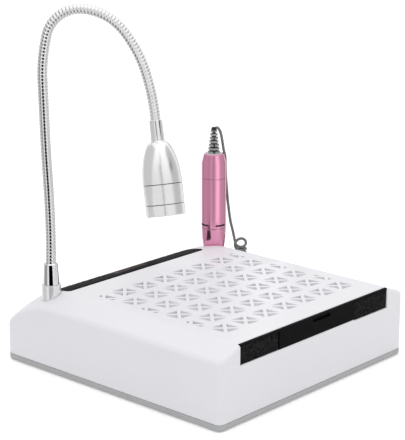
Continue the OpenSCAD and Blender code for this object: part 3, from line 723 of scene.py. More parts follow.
def casing():
    """Top casing: roof with holes, rounded edge and walls as one shell, then the openings in the walls."""
    border = []
    for k in range(6):
        turn = math.radians(18 * k)
        inset = EDGE_FILLET * (1 - math.sin(turn))
        border.append(on_skin(footprint(inset), EDGE_FILLET * (1 - math.cos(turn))))
    border.append([(x, y, CASING_LOW + 0.4) for x, y in footprint(0)])
    border.append([(x, y, CASING_LOW) for x, y in footprint(0.4)])
    border.append([(x, y, CASING_LOW) for x, y in footprint(WALL)])
    border.append(on_skin(footprint(WALL), WALL + 1.5))
    border.append(on_skin(footprint(EDGE_FILLET), WALL))
    petals = grille_petals()
    holes = []
    for core in petals:
        rings = [
            on_skin(
                grown(core, PETAL_CORNER_R + PETAL_LIP * (1 - math.sin(a))), PETAL_LIP * (1 - math.cos(a)))
            for a in (0, math.pi / 6, math.pi / 3, math.pi / 2)]
        holes.append(rings + [on_skin(grown(core, PETAL_CORNER_R), WALL)])
    panel = [rounded_rectangle(
        (PANEL_X[0] - d, PANEL_X[1] + d), (PANEL_Y[0] - d, PANEL_Y[1] + d), PANEL_CORNER_R + d)
        for d in (0.55, 0.3, 0.15)]
    panel = [dense(ring) for ring in panel]
    holes.append([on_skin(panel[0], 0), on_skin(panel[1], 0.12), on_skin(panel[2], 0.4),
                  on_skin(panel[2], WALL)])
    for centre, r in ((LAMP_AT, SOCKET_R + 0.4), (CUP_AT, CUP_R + 0.1)):
        ring = circle(*centre, r, 72)
        holes.append([on_skin(ring, 0), on_skin(ring, WALL)])
    obj = sheet("casing", border, holes, roof_spots(panel[0]), FINISH["white_shell"])
    cut_openings(obj)
    shade(obj, 30)
    return finish_piece(obj, "housing", "white_shell", "top_casing")


def dense(ring, longest=8.0):
    """Ring with its long sides split up, so that it can follow the slope."""
    points = []
    for a, b in zip(ring, ring[1:] + ring[:1]):
        pieces = max(1, math.ceil(math.dist(a, b) / longest - 0.15))
        points.extend((a[0] + (b[0] - a[0]) * k / pieces, a[1] + (b[1] - a[1]) * k / pieces)
                      for k in range(pieces))
    return points


def roof_spots(panel):
    """Pairs of points inside the roof where it bends, clear of its holes."""
    x0, x1 = min(p[0] for p in panel) - 2, max(p[0] for p in panel) + 2
    y0, y1 = min(p[1] for p in panel) - 2, max(p[1] for p in panel) + 2
    rows = sorted(slope_lines()[:-1] + [HALF_D - 8, HALF_D - 12] + [y * 12 for y in range(-11, 7)])
    columns = sorted(crease_lines() + [x * 12 for x in range(-10, 11)] + [-128, 128])
    spots = []
    for y in rows:
        for x in columns:
            bends = y >= RIDGE_Y - 1 or x in crease_lines()
            in_panel = x0 < x < x1 and y0 < y < y1
            near_round = math.dist((x, y), LAMP_AT) < SOCKET_R + 2 or math.dist((x, y), CUP_AT) < CUP_R + 2
            corner = y > HALF_D - REAR_CORNER_R and abs(x) > HALF_W - REAR_CORNER_R
            if bends and not in_panel and not near_round and not corner:
                spots.append(((x, y, skin(x, y)), (x, y, skin(x, y) - WALL)))
    return spots


def cut_openings(obj):
    """Drawer slot with a small chamfer round it, exhaust slots, and the holes for the connectors."""
    side = DRAWER_HALF_W + 0.3
    lip = 0.5
    top = 90.0
    face = -HALF_D
    cut_block(obj, (-side, face - 2, SLOT_LOW), (side, SLOT_BACK, BODY_H - ROOF_LIP))
    cut_block(obj, (-side, face - 2, SLOT_LOW + 1), (side, ROOF_EDGE, top))
    cut_block(obj, (side - GRIP_W - 0.6, face - 2, SLOT_LOW - GRIP_DROP), (side, SLOT_BACK, top - 20))
    cut(obj, frustum(
        "cutter",
        ((-side - lip - 1, face - 1, SLOT_LOW - lip - 1), (side + lip + 1, face - 1, top)),
        ((-side, face + lip, SLOT_LOW), (side, face + lip, top)),
    ))
    cut(obj, frustum(
        "cutter",
        ((-side, face - 1, BODY_H - lip), (side, ROOF_EDGE, BODY_H - lip)),
        ((-side - lip - 1, face - 1, BODY_H + 1), (side + lip + 1, ROOF_EDGE + lip + 1, BODY_H + 1)),
    ))
    upright = Matrix.Rotation(math.radians(90), 4, "X")
    outlines = []
    for sign in (-1, 1):
        for i in range(VENT_COUNT):
            x = sign * (VENT_FIRST_X + VENT_PITCH * i)
            outlines.append(rounded_rectangle((x - VENT_W / 2, x + VENT_W / 2), VENT_Z, 1.9))
    outlines.append(circle(*INLET_AT, 5.7))
    cut(obj, join("cutter", [prism("slot", o, -HALF_D - 2, 8 - HALF_D, upright) for o in outlines]))
    sideways = Matrix.Rotation(math.radians(90), 4, "Y")
    socket = circle(-PLUG_AT[1], PLUG_AT[0], 6.6)
    cut(obj, prism("cutter", socket, HALF_W - 8, HALF_W + 2, sideways))


def base():
    """Grey base: rim with rounded edges, and plate with stepped screw holes."""
    def level(inset, z):
        return [(x, y, z) for x, y in footprint(inset)]

    border = [level(inset, z) for inset, z in (
        (1.2, BASE_LOW), (0.5, BASE_LOW + 0.2), (0.15, BASE_LOW + 0.55), (0, BASE_LOW + 1.2),
        (0, BASE_HIGH - 0.5), (0.15, BASE_HIGH - 0.15), (0.5, BASE_HIGH),
        (WALL, BASE_HIGH), (WALL, BASE_LOW + WALL))]
    holes = []
    for x in SCREW_X:
        for y in SCREW_Y:
            steps = ((3.3, 0), (3.3, 2.4), (1.7, 2.4), (1.7, WALL))
            holes.append([[(*p, BASE_LOW + z) for p in circle(x, y, r)] for r, z in steps])
    obj = sheet("base", border, holes, [], FINISH["grey_base"])
    shade(obj, 30)
    return finish_piece(obj, "housing", "grey_base", "base_plate")


casing()
base()


# ---------- drawer ----------
def drawer_face():
    """Black drawer front with a finger notch and recesses for the pads."""
    face = 0.3 - HALF_D
    obj = block(
        "drawer_face", (-DRAWER_HALF_W, face, SLOT_LOW + 0.3), (DRAWER_HALF_W, SLOT_BACK - 0.4, BODY_H - 0.1),
        FINISH["black_plastic"])
    cut_block(
        obj, (TAB_X - TAB_W / 2, face - 1, BODY_H - 6), (TAB_X + TAB_W / 2, face + 2.9, BODY_H - 2.6))
    cut_block(
        obj, (-DRAWER_HALF_W - 1, ROOF_EDGE - 0.4, BODY_H - ROOF_LIP - 0.4),
        (DRAWER_HALF_W + 1, SLOT_BACK + 1, BODY_H + 1))
    for side in (-1, 1):
        middle = side * (DRAWER_HALF_W - GRIP_W / 2)
        cut_block(obj, (middle - 28, face - 1, SLOT_LOW - 1), (middle + 28, 2 - HALF_D, BODY_H - 2.2))
    soften(obj, 0.3)
    shade(obj)
    return finish_piece(obj, "drawer", "black_plastic", "drawer_front")


def grip_pads():
    """Pads with rows of small studs of uneven height, as left by a spark-eroded mould."""
    random.seed(7)
    pads = []
    for side in (-1, 1):
        drop = GRIP_DROP if side > 0 else 0
        x0 = side * (DRAWER_HALF_W - GRIP_W / 2) - GRIP_W / 2 + 0.3
        z0 = SLOT_LOW + 0.4 - drop
        width, height = GRIP_W - 0.6, 16.8 + drop
        columns, rows = 46, 15
        front = 0.15 - HALF_D
        points = []
        for j in range(rows + 1):
            for i in range(columns + 1):
                edge = i in (0, columns) or j in (0, rows)
                stud = (i % 2) * (j % 2) * random.uniform(0.1, 0.75)
                depth = 0.9 if edge else 0.75 - stud
                points.append((x0 + width * i / columns, front + depth, z0 + height * j / rows))
        count = len(points)
        points.extend((x, 1.9 - HALF_D, z) for x, y, z in points[:count])
        row = columns + 1
        faces = []
        for j in range(rows):
            for i in range(columns):
                a = j * row + i
                quad = (a, a + 1, a + row + 1, a + row)
                faces.append(quad)
                faces.append(tuple(count + k for k in reversed(quad)))
        rim = list(range(columns)) + [j * row + columns for j in range(rows)]
        rim += [count - 1 - i for i in range(columns)] + [j * row for j in range(rows, 0, -1)]
        faces.extend((a, b, count + b, count + a) for a, b in zip(rim, rim[1:] + rim[:1]))
        pads.append(new_object("pad", points, faces, FINISH["grip_texture"]))
    obj = join("drawer_pads", pads)
    shade(obj, 50, weighted=False)
    return finish_piece(obj, "drawer", "grip_texture", "drawer_grips")


drawer_face()
grip_pads()


# ---------- console ----------
def console():
    """Gloss black panel that follows the slope, with round key holes and the display's opening."""
    ring = [dense(rounded_rectangle(
        (PANEL_X[0] + d, PANEL_X[1] - d), (PANEL_Y[0] + d, PANEL_Y[1] - d), PANEL_CORNER_R - d))
        for d in (0.6, 0.2, 0)]
    over = -PANEL_OVER
    border = [on_skin(ring[0], over), on_skin(ring[1], over + 0.15), on_skin(ring[2], over + 0.5),
              on_skin(ring[2], PANEL_UNDER), on_skin(ring[0], PANEL_UNDER)]
    holes = []
    for x in KEY_PLACES.values():
        edge = [circle(x, KEY_Y, KEY_R + d) for d in (0.35, 0.07)]
        holes.append([on_skin(edge[0], over), on_skin(edge[1], over + 0.3), on_skin(edge[1], PANEL_UNDER)])
    window = dense(rounded_rectangle(
        (PANEL_MID - DISPLAY_HALF_W, PANEL_MID + DISPLAY_HALF_W), DISPLAY_Y, 1.0), 6)
    holes.append([on_skin(window, over), on_skin(window, PANEL_UNDER)])
    spots = []
    for y in range(87, 132, 6):
        for x in range(-102, 90, 9):
            clear = all(math.dist((x, y), (k, KEY_Y)) > KEY_R + 1.5 for k in KEY_PLACES.values())
            framed = abs(x - PANEL_MID) < DISPLAY_HALF_W + 2 and DISPLAY_Y[0] - 2 < y < DISPLAY_Y[1] + 2
            if clear and not framed:
                spots.append(((x, y, skin(x, y) - over), (x, y, skin(x, y) - PANEL_UNDER)))
    obj = sheet("console", border, holes, spots, FINISH["console_gloss"])
    shade(obj, 30)
    return finish_piece(obj, "housing", "console_gloss", "console_panel")


def on_key(x):
    """Frame on the slope in the row of keys: Z along the surface normal, Y up for a reader at the rear."""
    tilt = Matrix.Rotation(-KEY_TILT, 4, "X")
    return Matrix.Translation((x, KEY_Y, skin(0, KEY_Y))) @ tilt @ Matrix.Rotation(math.pi, 4, "Z")


def bar(x, y, width, height, turn=0.0):
    """Flat bar as an outline, centred on (x, y) and turned."""
    c, s = math.cos(turn), math.sin(turn)
    corners = [(width * i / 2, height * j / 2) for i, j in ((-1, -1), (1, -1), (1, 1), (-1, 1))]
    return [(x + c * u - s * v, y + s * u + c * v) for u, v in corners]


def mark_outlines(key):
    """Generic sign on each key."""
    if key == "key_fan":
        blade = [(1.5 + 1.3 * x, 0.7 * y) for x, y in circle(0, 0, 1.0, 16)]
        turns = [2 * math.pi * k / 3 for k in range(3)]
        return [[(x * math.cos(a) - y * math.sin(a), x * math.sin(a) + y * math.cos(a))
                 for x, y in blade] for a in turns]
    if key == "key_lamp":
        rays = [math.pi * k / 4 for k in range(8)]
        return [circle(0, 0, 1.3, 24)] + [
            bar(2.4 * math.cos(a), 2.4 * math.sin(a), 1.0, 0.35, a) for a in rays]
    if key == "key_drill":
        return [bar(0, 0.9, 1.6, 2.6), [(-0.8, -0.8), (0, -2.6), (0.8, -0.8)]]
    if key == "key_slower":
        return [bar(0, 0, 4.2, 0.7)]
    if key == "key_faster":
        return [bar(0, 0, 4.2, 0.7), bar(0, 1.45, 0.7, 1.6), bar(0, -1.45, 0.7, 1.6)]
    return [[(0.5, -1.5), (2.8, 0), (0.5, 1.5)], [(-0.5, 1.5), (-2.8, 0), (-0.5, -1.5)]]


KEY_PLACES = {
    "key_" + name: PANEL_MID + offset for name, offset in (
        ("fan", -78), ("lamp", -58), ("drill", -38), ("slower", 38), ("faster", 58), ("direction", 78))
}


def key_marks():
    """Printed signs, a hair above each key's top."""
    for key, x in KEY_PLACES.items():
        face = PANEL_OVER + KEY_PROUD
        shapes = [prism("sign", outline, face - 0.02, face + 0.03, on_key(x), MARKS)
                  for outline in mark_outlines(key)]
        finish_piece(join(key + "_sign", shapes), key, "key_grey")


def digit(value, x):
    """Seven-segment digit as outlines, centred on x."""
    segments = {
        "a": bar(x, 5.2, 4.4, 1.0), "g": bar(x, 0, 4.4, 1.0), "d": bar(x, -5.2, 4.4, 1.0),
        "b": bar(x + 2.8, 2.6, 1.0, 4.0), "c": bar(x + 2.8, -2.6, 1.0, 4.0),
        "f": bar(x - 2.8, 2.6, 1.0, 4.0), "e": bar(x - 2.8, -2.6, 1.0, 4.0),
    }
    lit = {"2": "abged", "5": "afgcd", "0": "abcdef"}[value]
    return [segments[s] for s in lit]


def display():
    """Unlit segments of the speed number behind the tinted window."""
    outlines = digit("2", -10) + digit("5", 0) + digit("0", 10)
    parts = [prism("segment", outline, PANEL_OVER - 0.09, PANEL_OVER + 0.02, on_key(PANEL_MID), DIGITS)
             for outline in outlines]
    finish_piece(join("display_digits", parts), "housing", "display_red")


console()
key_marks()
display()


# ---------- lamp ----------
HOSE_OUT = Vector((math.cos(math.radians(HOSE_AZIMUTH)), math.sin(math.radians(HOSE_AZIMUTH)), 0))
HOSE_FOOT = Vector((*LAMP_AT, 0))


def in_hose_plane(s, z):
    """Point of the hose's upright plane."""
    return HOSE_FOOT + HOSE_OUT * s + Vector((0, 0, z))


def hose_point(distance):
    """(s, z, heading in degrees) at a distance along the hose's centre line."""
    s, z, heading = 0.0, COLLAR_TOP, HOSE_HEADING
    for number, turn in enumerate(SECTION_TURNS):
        last = number == len(SECTION_TURNS) - 1
        length = distance if last else min(distance, HOSE_STEP)
        part = turn * length / HOSE_STEP
        middle = math.radians(heading - part / 2)
        half = math.radians(part / 2)
        chord = length * (math.sin(half) / half if abs(half) > 1e-6 else 1)
        s += chord * math.cos(middle)
        z += chord * math.sin(middle)
        heading -= part
        distance -= length
        if distance <= 0:
            break
    return s, z, heading


def hose_place(distance):
    """Point at a distance along the hose's centre line."""
    s, z, _ = hose_point(distance)
    return in_hose_plane(s, z)


def rib_radius(distance):
    """Radius of the wound hose: a round-backed rib with a tight groove between two turns."""
    across = 0.97 * (2 * ((distance / RIB_PITCH) % 1.0) - 1)
    return HOSE_R - RIB_DEPTH * (1 - math.sqrt(1 - across**2))


def hose_piece(name, start, end):
    """Ribbed tube along the hose between two distances."""
    step = RIB_PITCH / 10
    first, last = math.ceil(start / step - 1e-6), math.floor(end / step + 1e-6)
    distances = [start] + [i * step for i in range(first, last + 1) if start < i * step < end] + [end]
    path = [hose_place(d) for d in distances]
    radii = [rib_radius(d) for d in distances]
    obj = sweep(name, path, radii, FINISH["hose_steel"], 28, round_ends=False)
    obj.data.shade_smooth()
    return obj


def hose():
    """Hose in pieces, each swept along the bent centre line across one pivot, from the middle of one section
    to the next one's.
    """
    count = len(SECTION_TURNS)
    middle = [HOSE_STEP * (i + 0.5) for i in range(count)]
    foot = hose_piece("hose_piece_0", -HOSE_SUNK, middle[0])
    finish_piece(foot, "lamp_foot", "hose_steel", "hose_section_1")
    tip = HOSE_STEP * count
    for i in range(1, count + 1):
        span = (middle[i - 1], middle[i]) if i < count else (tip - HOSE_NECK, tip)
        obj = hose_piece(f"hose_piece_{i}", middle[i - 1], span[1])
        if i < count:
            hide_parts(f"hose_section_{i + 1}")
        [hose_place(d) * MM for d in span]
        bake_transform(obj)


def lamp_socket():
    """White sleeve that stands in a hole of the casing, with a narrow gap round it."""
    place = Matrix.Translation(HOSE_FOOT)
    top = rounded_profile([(SOCKET_R, 78.0, 0), (SOCKET_R, SOCKET_TOP, 0.8), (5.2, SOCKET_TOP, 0)])
    foot = [(SOCKET_R - 1.5, -8.0), (SOCKET_R - 0.1, -8.0), (SOCKET_R, -7.8), (SOCKET_R, 0.0)]

    def level(x, y, z):
        return z if z > 20 else skin(x + LAMP_AT[0], y + LAMP_AT[1]) + z
    turned("lamp_sleeve", foot + top, place, "housing", "socket_white", "lamp_socket", skin=level)


def lamp_collar():
    """Chrome ferrule at the foot of the hose."""
    profile = rounded_profile([
        (0, SOCKET_TOP + 0.1, 0), (7.95, SOCKET_TOP + 0.1, 0.4), (7.9, SOCKET_TOP + 3, 0.2),
        (7.0, COLLAR_TOP + 0.4, 0.7), (HOSE_R + 0.3, COLLAR_TOP + 1.6, 0.3),
        (HOSE_R - 0.9, COLLAR_TOP + 1.4, 0)])
    place = Matrix.Translation(HOSE_FOOT)
    turned("lamp_ferrule", profile, place, "lamp_foot", "chrome", "lamp_collar")


def head_frame():
    """Frame at the last pivot with local -Z down the lamp head."""
    lean = math.radians(HEAD_LEAN)
    up = HOSE_OUT * -math.sin(lean) + Vector((0, 0, math.cos(lean)))
    across = HOSE_OUT * math.cos(lean) + Vector((0, 0, math.sin(lean)))
    third = up.cross(across)
    turn = Matrix((across, third, up)).transposed().to_4x4()
    nod = Matrix.Rotation(math.radians(-HEAD_NOD), 4, HOSE_OUT)
    return Matrix.Translation(hose_place(HOSE_STEP * len(SECTION_TURNS))) @ nod @ turn


def dome_radius(u):
    """Radius of the lamp head at share u down its dome."""
    return HEAD_TOP_R + (HEAD_R - HEAD_TOP_R) * math.sin(math.pi / 2 * u**0.7)


def lamp_head():
    """Collar, dome, barrel and bezel, with two turned grooves between them."""
    place = head_frame()
    collar = rounded_profile([
        (0, -0.8, 0), (6.2, -0.8, 0.7), (6.6, -HEAD_COLLAR + 1.2, 0.3), (7.4, -HEAD_COLLAR + 0.2, 0.4),
        (7.4, -HEAD_COLLAR - 0.3, 0), (0, -HEAD_COLLAR - 0.3, 0)])
    turned("head_ferrule", collar, place, "lamp_head", "chrome", "head_collar")

    low = -HEAD_COLLAR - HEAD_DOME
    dome = [(0, -HEAD_COLLAR), (HEAD_TOP_R - 1.0, -HEAD_COLLAR), (HEAD_TOP_R - 0.3, -HEAD_COLLAR - 0.15)]
    dome += [(dome_radius(k / 24), -HEAD_COLLAR - 0.5 - (HEAD_DOME - 0.9) * k / 24) for k in range(25)]
    dome += [(HEAD_R - 0.1, low + 0.1), (HEAD_R - 0.6, low), (0, low)]
    turned("head_shell", dome, place, "lamp_head", "lamp_aluminium", "head_dome", sides=96)

    high = low - 0.3
    low = high - HEAD_BARREL + 0.6
    line = high - HEAD_LINE
    barrel = rounded_profile([
        (0, high, 0), (HEAD_R - 0.7, high, 0), (HEAD_R, high - 0.4, 0.2),
        (HEAD_R, line, 0), (HEAD_R - 0.15, line - 0.1, 0), (HEAD_R - 0.15, line - 0.4, 0),
        (HEAD_R, line - 0.5, 0),
        (HEAD_R, low + 0.3, 0.2), (HEAD_R - 0.6, low, 0), (HEAD_R - 2, low, 0)])
    turned("head_ring", barrel, place, "lamp_head", "lamp_aluminium", "head_barrel", sides=96)

    high = low - 0.3
    low = -HEAD_COLLAR - HEAD_DOME - HEAD_BARREL - HEAD_BEZEL
    bezel = rounded_profile([
        (HEAD_R - 2.2, high - 1.5, 0), (HEAD_R - 2.2, high, 0),
        (HEAD_R - 0.6, high, 0), (HEAD_R, high - 0.4, 0.2),
        (HEAD_R, low + 0.8, 0.6), (HEAD_R - 0.8, low, 0.4),
        (HEAD_R - 3.2, low, 0.3), (HEAD_R - 3.2, low + 1.8, 0),
        (HEAD_R - 1.8, low + 1.8, 0)])
    turned("head_rim", bezel, place, "lamp_head", "lamp_aluminium", "head_bezel", sides=96)


hose()
lamp_socket()
lamp_collar()
lamp_head()


# ---------- handpiece ----------
HANDPIECE = Matrix.Translation((*CUP_AT, 0))


def holder_cup():
    """Ring of the holder, flush with the casing's skin."""
    profile = [
        (CUP_R, -30.0), (CUP_R, -0.3), (CUP_R - 0.15, -0.05), (CUP_R - 0.5, 0.0), (14.4, -0.05),
        (13.8, -0.3), (13.3, -0.9), (13.1, -1.8), (12.4, -8.0), (10.3, -24.0), (0.0, -24.0)]

    def level(x, y, z):
        return skin(x + CUP_AT[0], y + CUP_AT[1]) + z
    turned("holder_ring", profile, HANDPIECE, "housing", "white_shell", "handpiece_cup", skin=level)


def handpiece():
    """Sleeve, barrel with vent slits, and rear cap, all turned and polished."""
    grip = rounded_profile([
        (8.6, GRIP_LOW, 0), (GRIP_LOW_R, GRIP_LOW, 0.6), (11.4, 70.5, 20), (12.8, 81.0, 12),
        (BARREL_R - 0.1, BARREL_LOW - 1.0, 0.4), (BARREL_R - 0.2, BARREL_LOW - 0.2, 0.2),
        (11.6, BARREL_LOW - 0.2, 0)])
    turned("handpiece_sleeve", grip, HANDPIECE, "grip", "pink_anodised", "handpiece_grip", sides=96)

    barrel = rounded_profile([
        (11.6, BARREL_LOW, 0), (BARREL_R, BARREL_LOW, 0.5), (BARREL_R, CAP_LOW, 0.3), (11.6, CAP_LOW, 0),
        (11.6, BARREL_LOW, 0)])
    obj = lathe("handpiece_tube", barrel, FINISH["pink_anodised"], HANDPIECE, 96)
    obj.modifiers.clear()
    slits = []
    outline = rounded_rectangle((-SLIT_W / 2, SLIT_W / 2), (-SLIT_LENGTH / 2, SLIT_LENGTH / 2), 0.9)
    face_out = Matrix.Rotation(math.radians(90), 4, "Y")
    for k in range(SLIT_COUNT):
        a = math.radians(SLIT_BEARING + 360 / SLIT_COUNT * k)
        turn = HANDPIECE @ Matrix.Rotation(a, 4, "Z") @ Matrix.Translation((12, 0, SLIT_Z))
        slits.append(prism("slit", outline, -4, 4, turn @ face_out))
    cut(obj, join("cutter", slits))
    shade(obj)
    finish_piece(obj, "handpiece", "pink_anodised", "handpiece_barrel")

    cap = rounded_profile([
        (0, CAP_LOW + 0.2, 0), (BARREL_R, CAP_LOW + 0.2, 0.3), (BARREL_R, CAP_SHOULDER, 2),
        (10.9, CAP_TOP, 0.9), (9.0, CAP_TOP, 0), (0, CAP_TOP, 0)])
    turned("handpiece_end", cap, HANDPIECE, "handpiece", "pink_anodised", "handpiece_cap", sides=96)


def ring_part(r0, r1, z0, z1, start, span):
    """Part of a flat ring, as points and faces, with its arc cut in even steps."""
    steps = 14
    points = []
    for k in range(steps + 1):
        a = start + span * k / steps
        for r, z in ((r0, z0), (r1, z0 + 0.2), (r1, z1 - 0.2), (r0, z1)):
            points.append(HANDPIECE @ Vector((r * math.cos(a), r * math.sin(a), z)))
    faces = [(0, 1, 2, 3), tuple(4 * steps + i for i in (3, 2, 1, 0))]
    for k in range(steps):
        for i in range(4):
            n = (i + 1) % 4
            faces.append((4 * k + i, 4 * k + 4 + i, 4 * k + 4 + n, 4 * k + n))
    return new_object("rib", points, faces, FINISH["relief_grey"])


def strain_relief():
    """Cone of half rings, each pair turned a quarter from the one below, round a slender core."""
    parts = []
    pitch = (RELIEF_TOP - CAP_TOP - 2) / RELIEF_RIBS
    for i in range(RELIEF_RIBS):
        r = RELIEF_BASE_R - (RELIEF_BASE_R - RELIEF_TIP_R) * i / (RELIEF_RIBS - 1)
        z = CAP_TOP + 0.4 + i * pitch
        for half in (0, 1):
            start = math.radians(10 + 45 + 90 * (i % 2) + 180 * half)
            parts.append(ring_part(r - 2.6, r, z, z + pitch * RELIEF_RIB_SHARE, start, math.radians(160)))
    ribs = join("relief_ribs", parts)
    soften(ribs, 0.3)
    shade(ribs)
    finish_piece(ribs, "handpiece", "cord_grey")
    core = rounded_profile([
        (0, CAP_TOP - 0.2, 0), (4.2, CAP_TOP - 0.2, 0), (4.2, CAP_TOP + 1.2, 0), (1.8, RELIEF_TOP - 4, 0),
        (2.9, RELIEF_TOP - 3.6, 0.6), (2.8, RELIEF_TOP - 0.6, 1.2),
        (1.7, RELIEF_TOP, 0.5), (0, RELIEF_TOP, 0)])
    # The core is near black: painted shade in the deep gaps between the ribs.
    obj = lathe("relief_core", core, FINISH["relief_core_painted_shade"], HANDPIECE, 48)
    finish_piece(obj, "handpiece", "cord_grey", "strain_relief")
    washer = rounded_profile([
        (0, CAP_TOP - 0.2, 0), (8.8, CAP_TOP - 0.2, 0), (8.8, CAP_TOP + 0.7, 0.3), (0, CAP_TOP + 0.7, 0)])
    turned("relief_washer", washer, HANDPIECE, "handpiece", "inner_plastic", sides=64)


holder_cup()
handpiece()
strain_relief()


# ---------- cord ----------
def round_cord(name, path, sides):
    """Smooth cord along a path."""
    obj = sweep(name, path, [CORD_R] * len(path), FINISH["cord_grey"], sides)
    obj.data.shade_smooth()
    return obj


def bezier(a, b, c, d, t):
    """Point of a cubic curve."""
    u = 1 - t
    return a * u**3 + b * (3 * t * u**2) + c * (3 * t**2 * u) + d * t**3


CAMERA_RIGHT = Vector((math.sin(CAMERA_YAW), -math.cos(CAMERA_YAW), 0))
CAMERA_AHEAD = Vector((math.cos(CAMERA_YAW), math.sin(CAMERA_YAW), 0))


def coil_point(turn):
    """Point of the wound cord; its first turn stands open as a hoop, then it settles into the tight coil."""
    share = min(1.0, max(0.0, (turn - 0.6) / 1.3))
    settled = share * share * (3 - 2 * share)
    tilt = math.radians(HOOP_TILT) * (1 - settled)
    r = COIL_R + 0.3 * (1 - settled)
    z = COIL_TOP - COIL_PITCH * turn - COIL_R * math.sin(math.radians(HOOP_TILT)) * settled
    a = math.pi + 2 * math.pi * turn
    far = CAMERA_AHEAD * math.cos(tilt) + Vector((0, 0, math.sin(tilt)))
    return Vector((*COIL_AT, z)) + r * (math.cos(a) * CAMERA_RIGHT + math.sin(a) * far)


def catmull_rom(places, steps):
    """Smooth curve through all places, with steps points between two of them."""
    path = []
    for i in range(len(places) - 1):
        a, b, c, d = (places[max(0, min(len(places) - 1, i + k))] for k in (-1, 0, 1, 2))
        for k in range(steps):
            t = k / steps
            path.append(0.5 * (2 * b + (c - a) * t + (2 * a - 5 * b + 4 * c - d) * t**2
                               + (3 * b - a - 3 * c + d) * t**3))
    return path + [places[-1]]


def cord():
    """Cord from the strain relief, over in a tight bend and down beside the barrel to the coil."""
    bends = [
        (0, 0, RELIEF_TOP - 5), (1.6, 0.4, RELIEF_TOP - 1.7), (4, 1.4, RELIEF_TOP - 1),
        (6.6, 2.8, RELIEF_TOP - 5),
        (8, 4.2, 196), (9.4, 5.6, 188), (10.6, 7, 180), (12.4, 8.5, 171), (12.8, 9.5, 160), (13.4, 10, 146),
        (14.4, 10.5, 134), (15.6, 11.5, 120), (18.4, 15, 98), (21.4, 18.5, 84),
    ]
    foot = HANDPIECE.translation
    places = [
        foot + CAMERA_RIGHT * right + CAMERA_AHEAD * ahead + Vector((0, 0, z)) for right, ahead, z in bends]
    path = catmull_rom(places + [coil_point(0)], 8)
    finish_piece(round_cord("cord_lead", path, 14), "handpiece", "cord_grey", "handpiece_cord")


def coil():
    """Wound cord hanging beside the housing."""
    path = [coil_point(i / COIL_STEPS) for i in range(round(COIL_TURNS * COIL_STEPS) + 1)]
    obj = round_cord("cord_coils", path, 12)
    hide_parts("cord_coil")
    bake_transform(obj)


def plug():
    """Moulded plug in the side socket with its short ribbed sleeve and the lead up to the coil."""
    outwards = Matrix.Translation((HALF_W + 1.5, *PLUG_AT)) @ Matrix.Rotation(math.radians(90), 4, "Y")
    profile = rounded_profile([
        (0, -8, 0), (4, -8, 0.3), (4, 0, 0), (6, 0, 0.6), (6, 5.0, 0.4), (5.4, 5.4, 0.2), (5.4, 6.4, 0.2),
        (6, 6.8, 0.2), (5.6, 9, 1.2), (2.6, 10, 0.5), (2.2, 13, 0.6), (0, 13.4, 0)])
    turned("plug_body", profile, outwards, "housing", "cord_grey", "cord_plug", sides=48)
    start = coil_point(COIL_TURNS)
    tip = Vector((HALF_W + 12, *PLUG_AT))
    leave = tip + Vector((9, 0, -1))
    arrive = start + Vector((0, -8, -8))
    path = [bezier(tip, leave, arrive, start, k / 30) for k in range(31)]
    finish_piece(round_cord("plug_lead", path, 12), "housing", "cord_grey")


cord()
coil()
plug()


# ---------- CAD nodes that stay ----------
def dress_nodes():
    """Finish and small edge radius for the CAD nodes that are still shown."""
    slot_of = {s["node"]: s["material_slot"] for s in frame["record"]["subparts"]}
    for name, obj in nodes.items():
        if obj.hide_render:
            continue
        obj.data.materials.clear()
        obj.data.materials.append(FINISH[slot_of[name]])
        weld = obj.modifiers.new("weld", "WELD")
        weld.merge_threshold = 0.001 * MM
        bevel(obj, 0.2, 40)
        weigh_normals(obj)


dress_nodes()


# ---------- floor, light and camera ----------
def seen_by_camera(tree, plain, seen):
    """Value node that gives plain to most rays and seen to the camera."""
    path = add_node(tree, "LightPath")
    mix = add_node(tree, "Mix", A=plain, B=seen)
    tree.links.new(path.outputs["Is Camera Ray"], mix.inputs["Factor"])
    return mix


def floor():
    """Large pale floor, lit up a little for the camera so that it meets the white surround."""
    material = make_material(
        "floor", (FLOOR_TONE,) * 3, 0.9, tone=0.004, spread=0.03, patch=2, grain=60, bump=0.02, specular=0.1)
    tree = material.node_tree
    shader = tree.nodes["Principled BSDF"]
    shader.inputs["Emission Color"].default_value = (1.0, 1.0, 1.0, 1.0)
    glow = seen_by_camera(tree, 0.0, FLOOR_GLOW)
    tree.links.new(glow.outputs["Result"], shader.inputs["Emission Strength"])
    size = 6000.0
    obj = new_object(
        "floor", [(-size, -size, -0.2), (size, -size, -0.2), (size, size, -0.2), (-size, size, -0.2)],
        [(0, 1, 2, 3)], material)


def sky():
    """Soft studio surround: brighter overhead and towards the drawer's side, and white to the camera."""
    world = bpy.data.worlds.new("studio")
    bpy.context.scene.world = world
    world.use_nodes = True
    tree = world.node_tree
    link = tree.links.new
    background = tree.nodes["Background"]
    place = add_node(tree, "TexCoord")
    lean = add_node(tree, "VectorMath")
    lean.operation = "DOT_PRODUCT"
    lean.inputs[1].default_value = SKY_LEAN
    link(place.outputs["Generated"], lean.inputs[0])
    height = add_node(tree, "MapRange", To_Min=SKY_LEVELS[0], To_Max=SKY_LEVELS[1])
    link(lean.outputs["Value"], height.inputs["Value"])
    mix = seen_by_camera(tree, 0.0, 1.0)
    link(height.outputs["Result"], mix.inputs["A"])
    link(mix.outputs["Result"], background.inputs["Strength"])
    background.inputs["Color"].default_value = (1.0, 1.0, 1.0, 1.0)


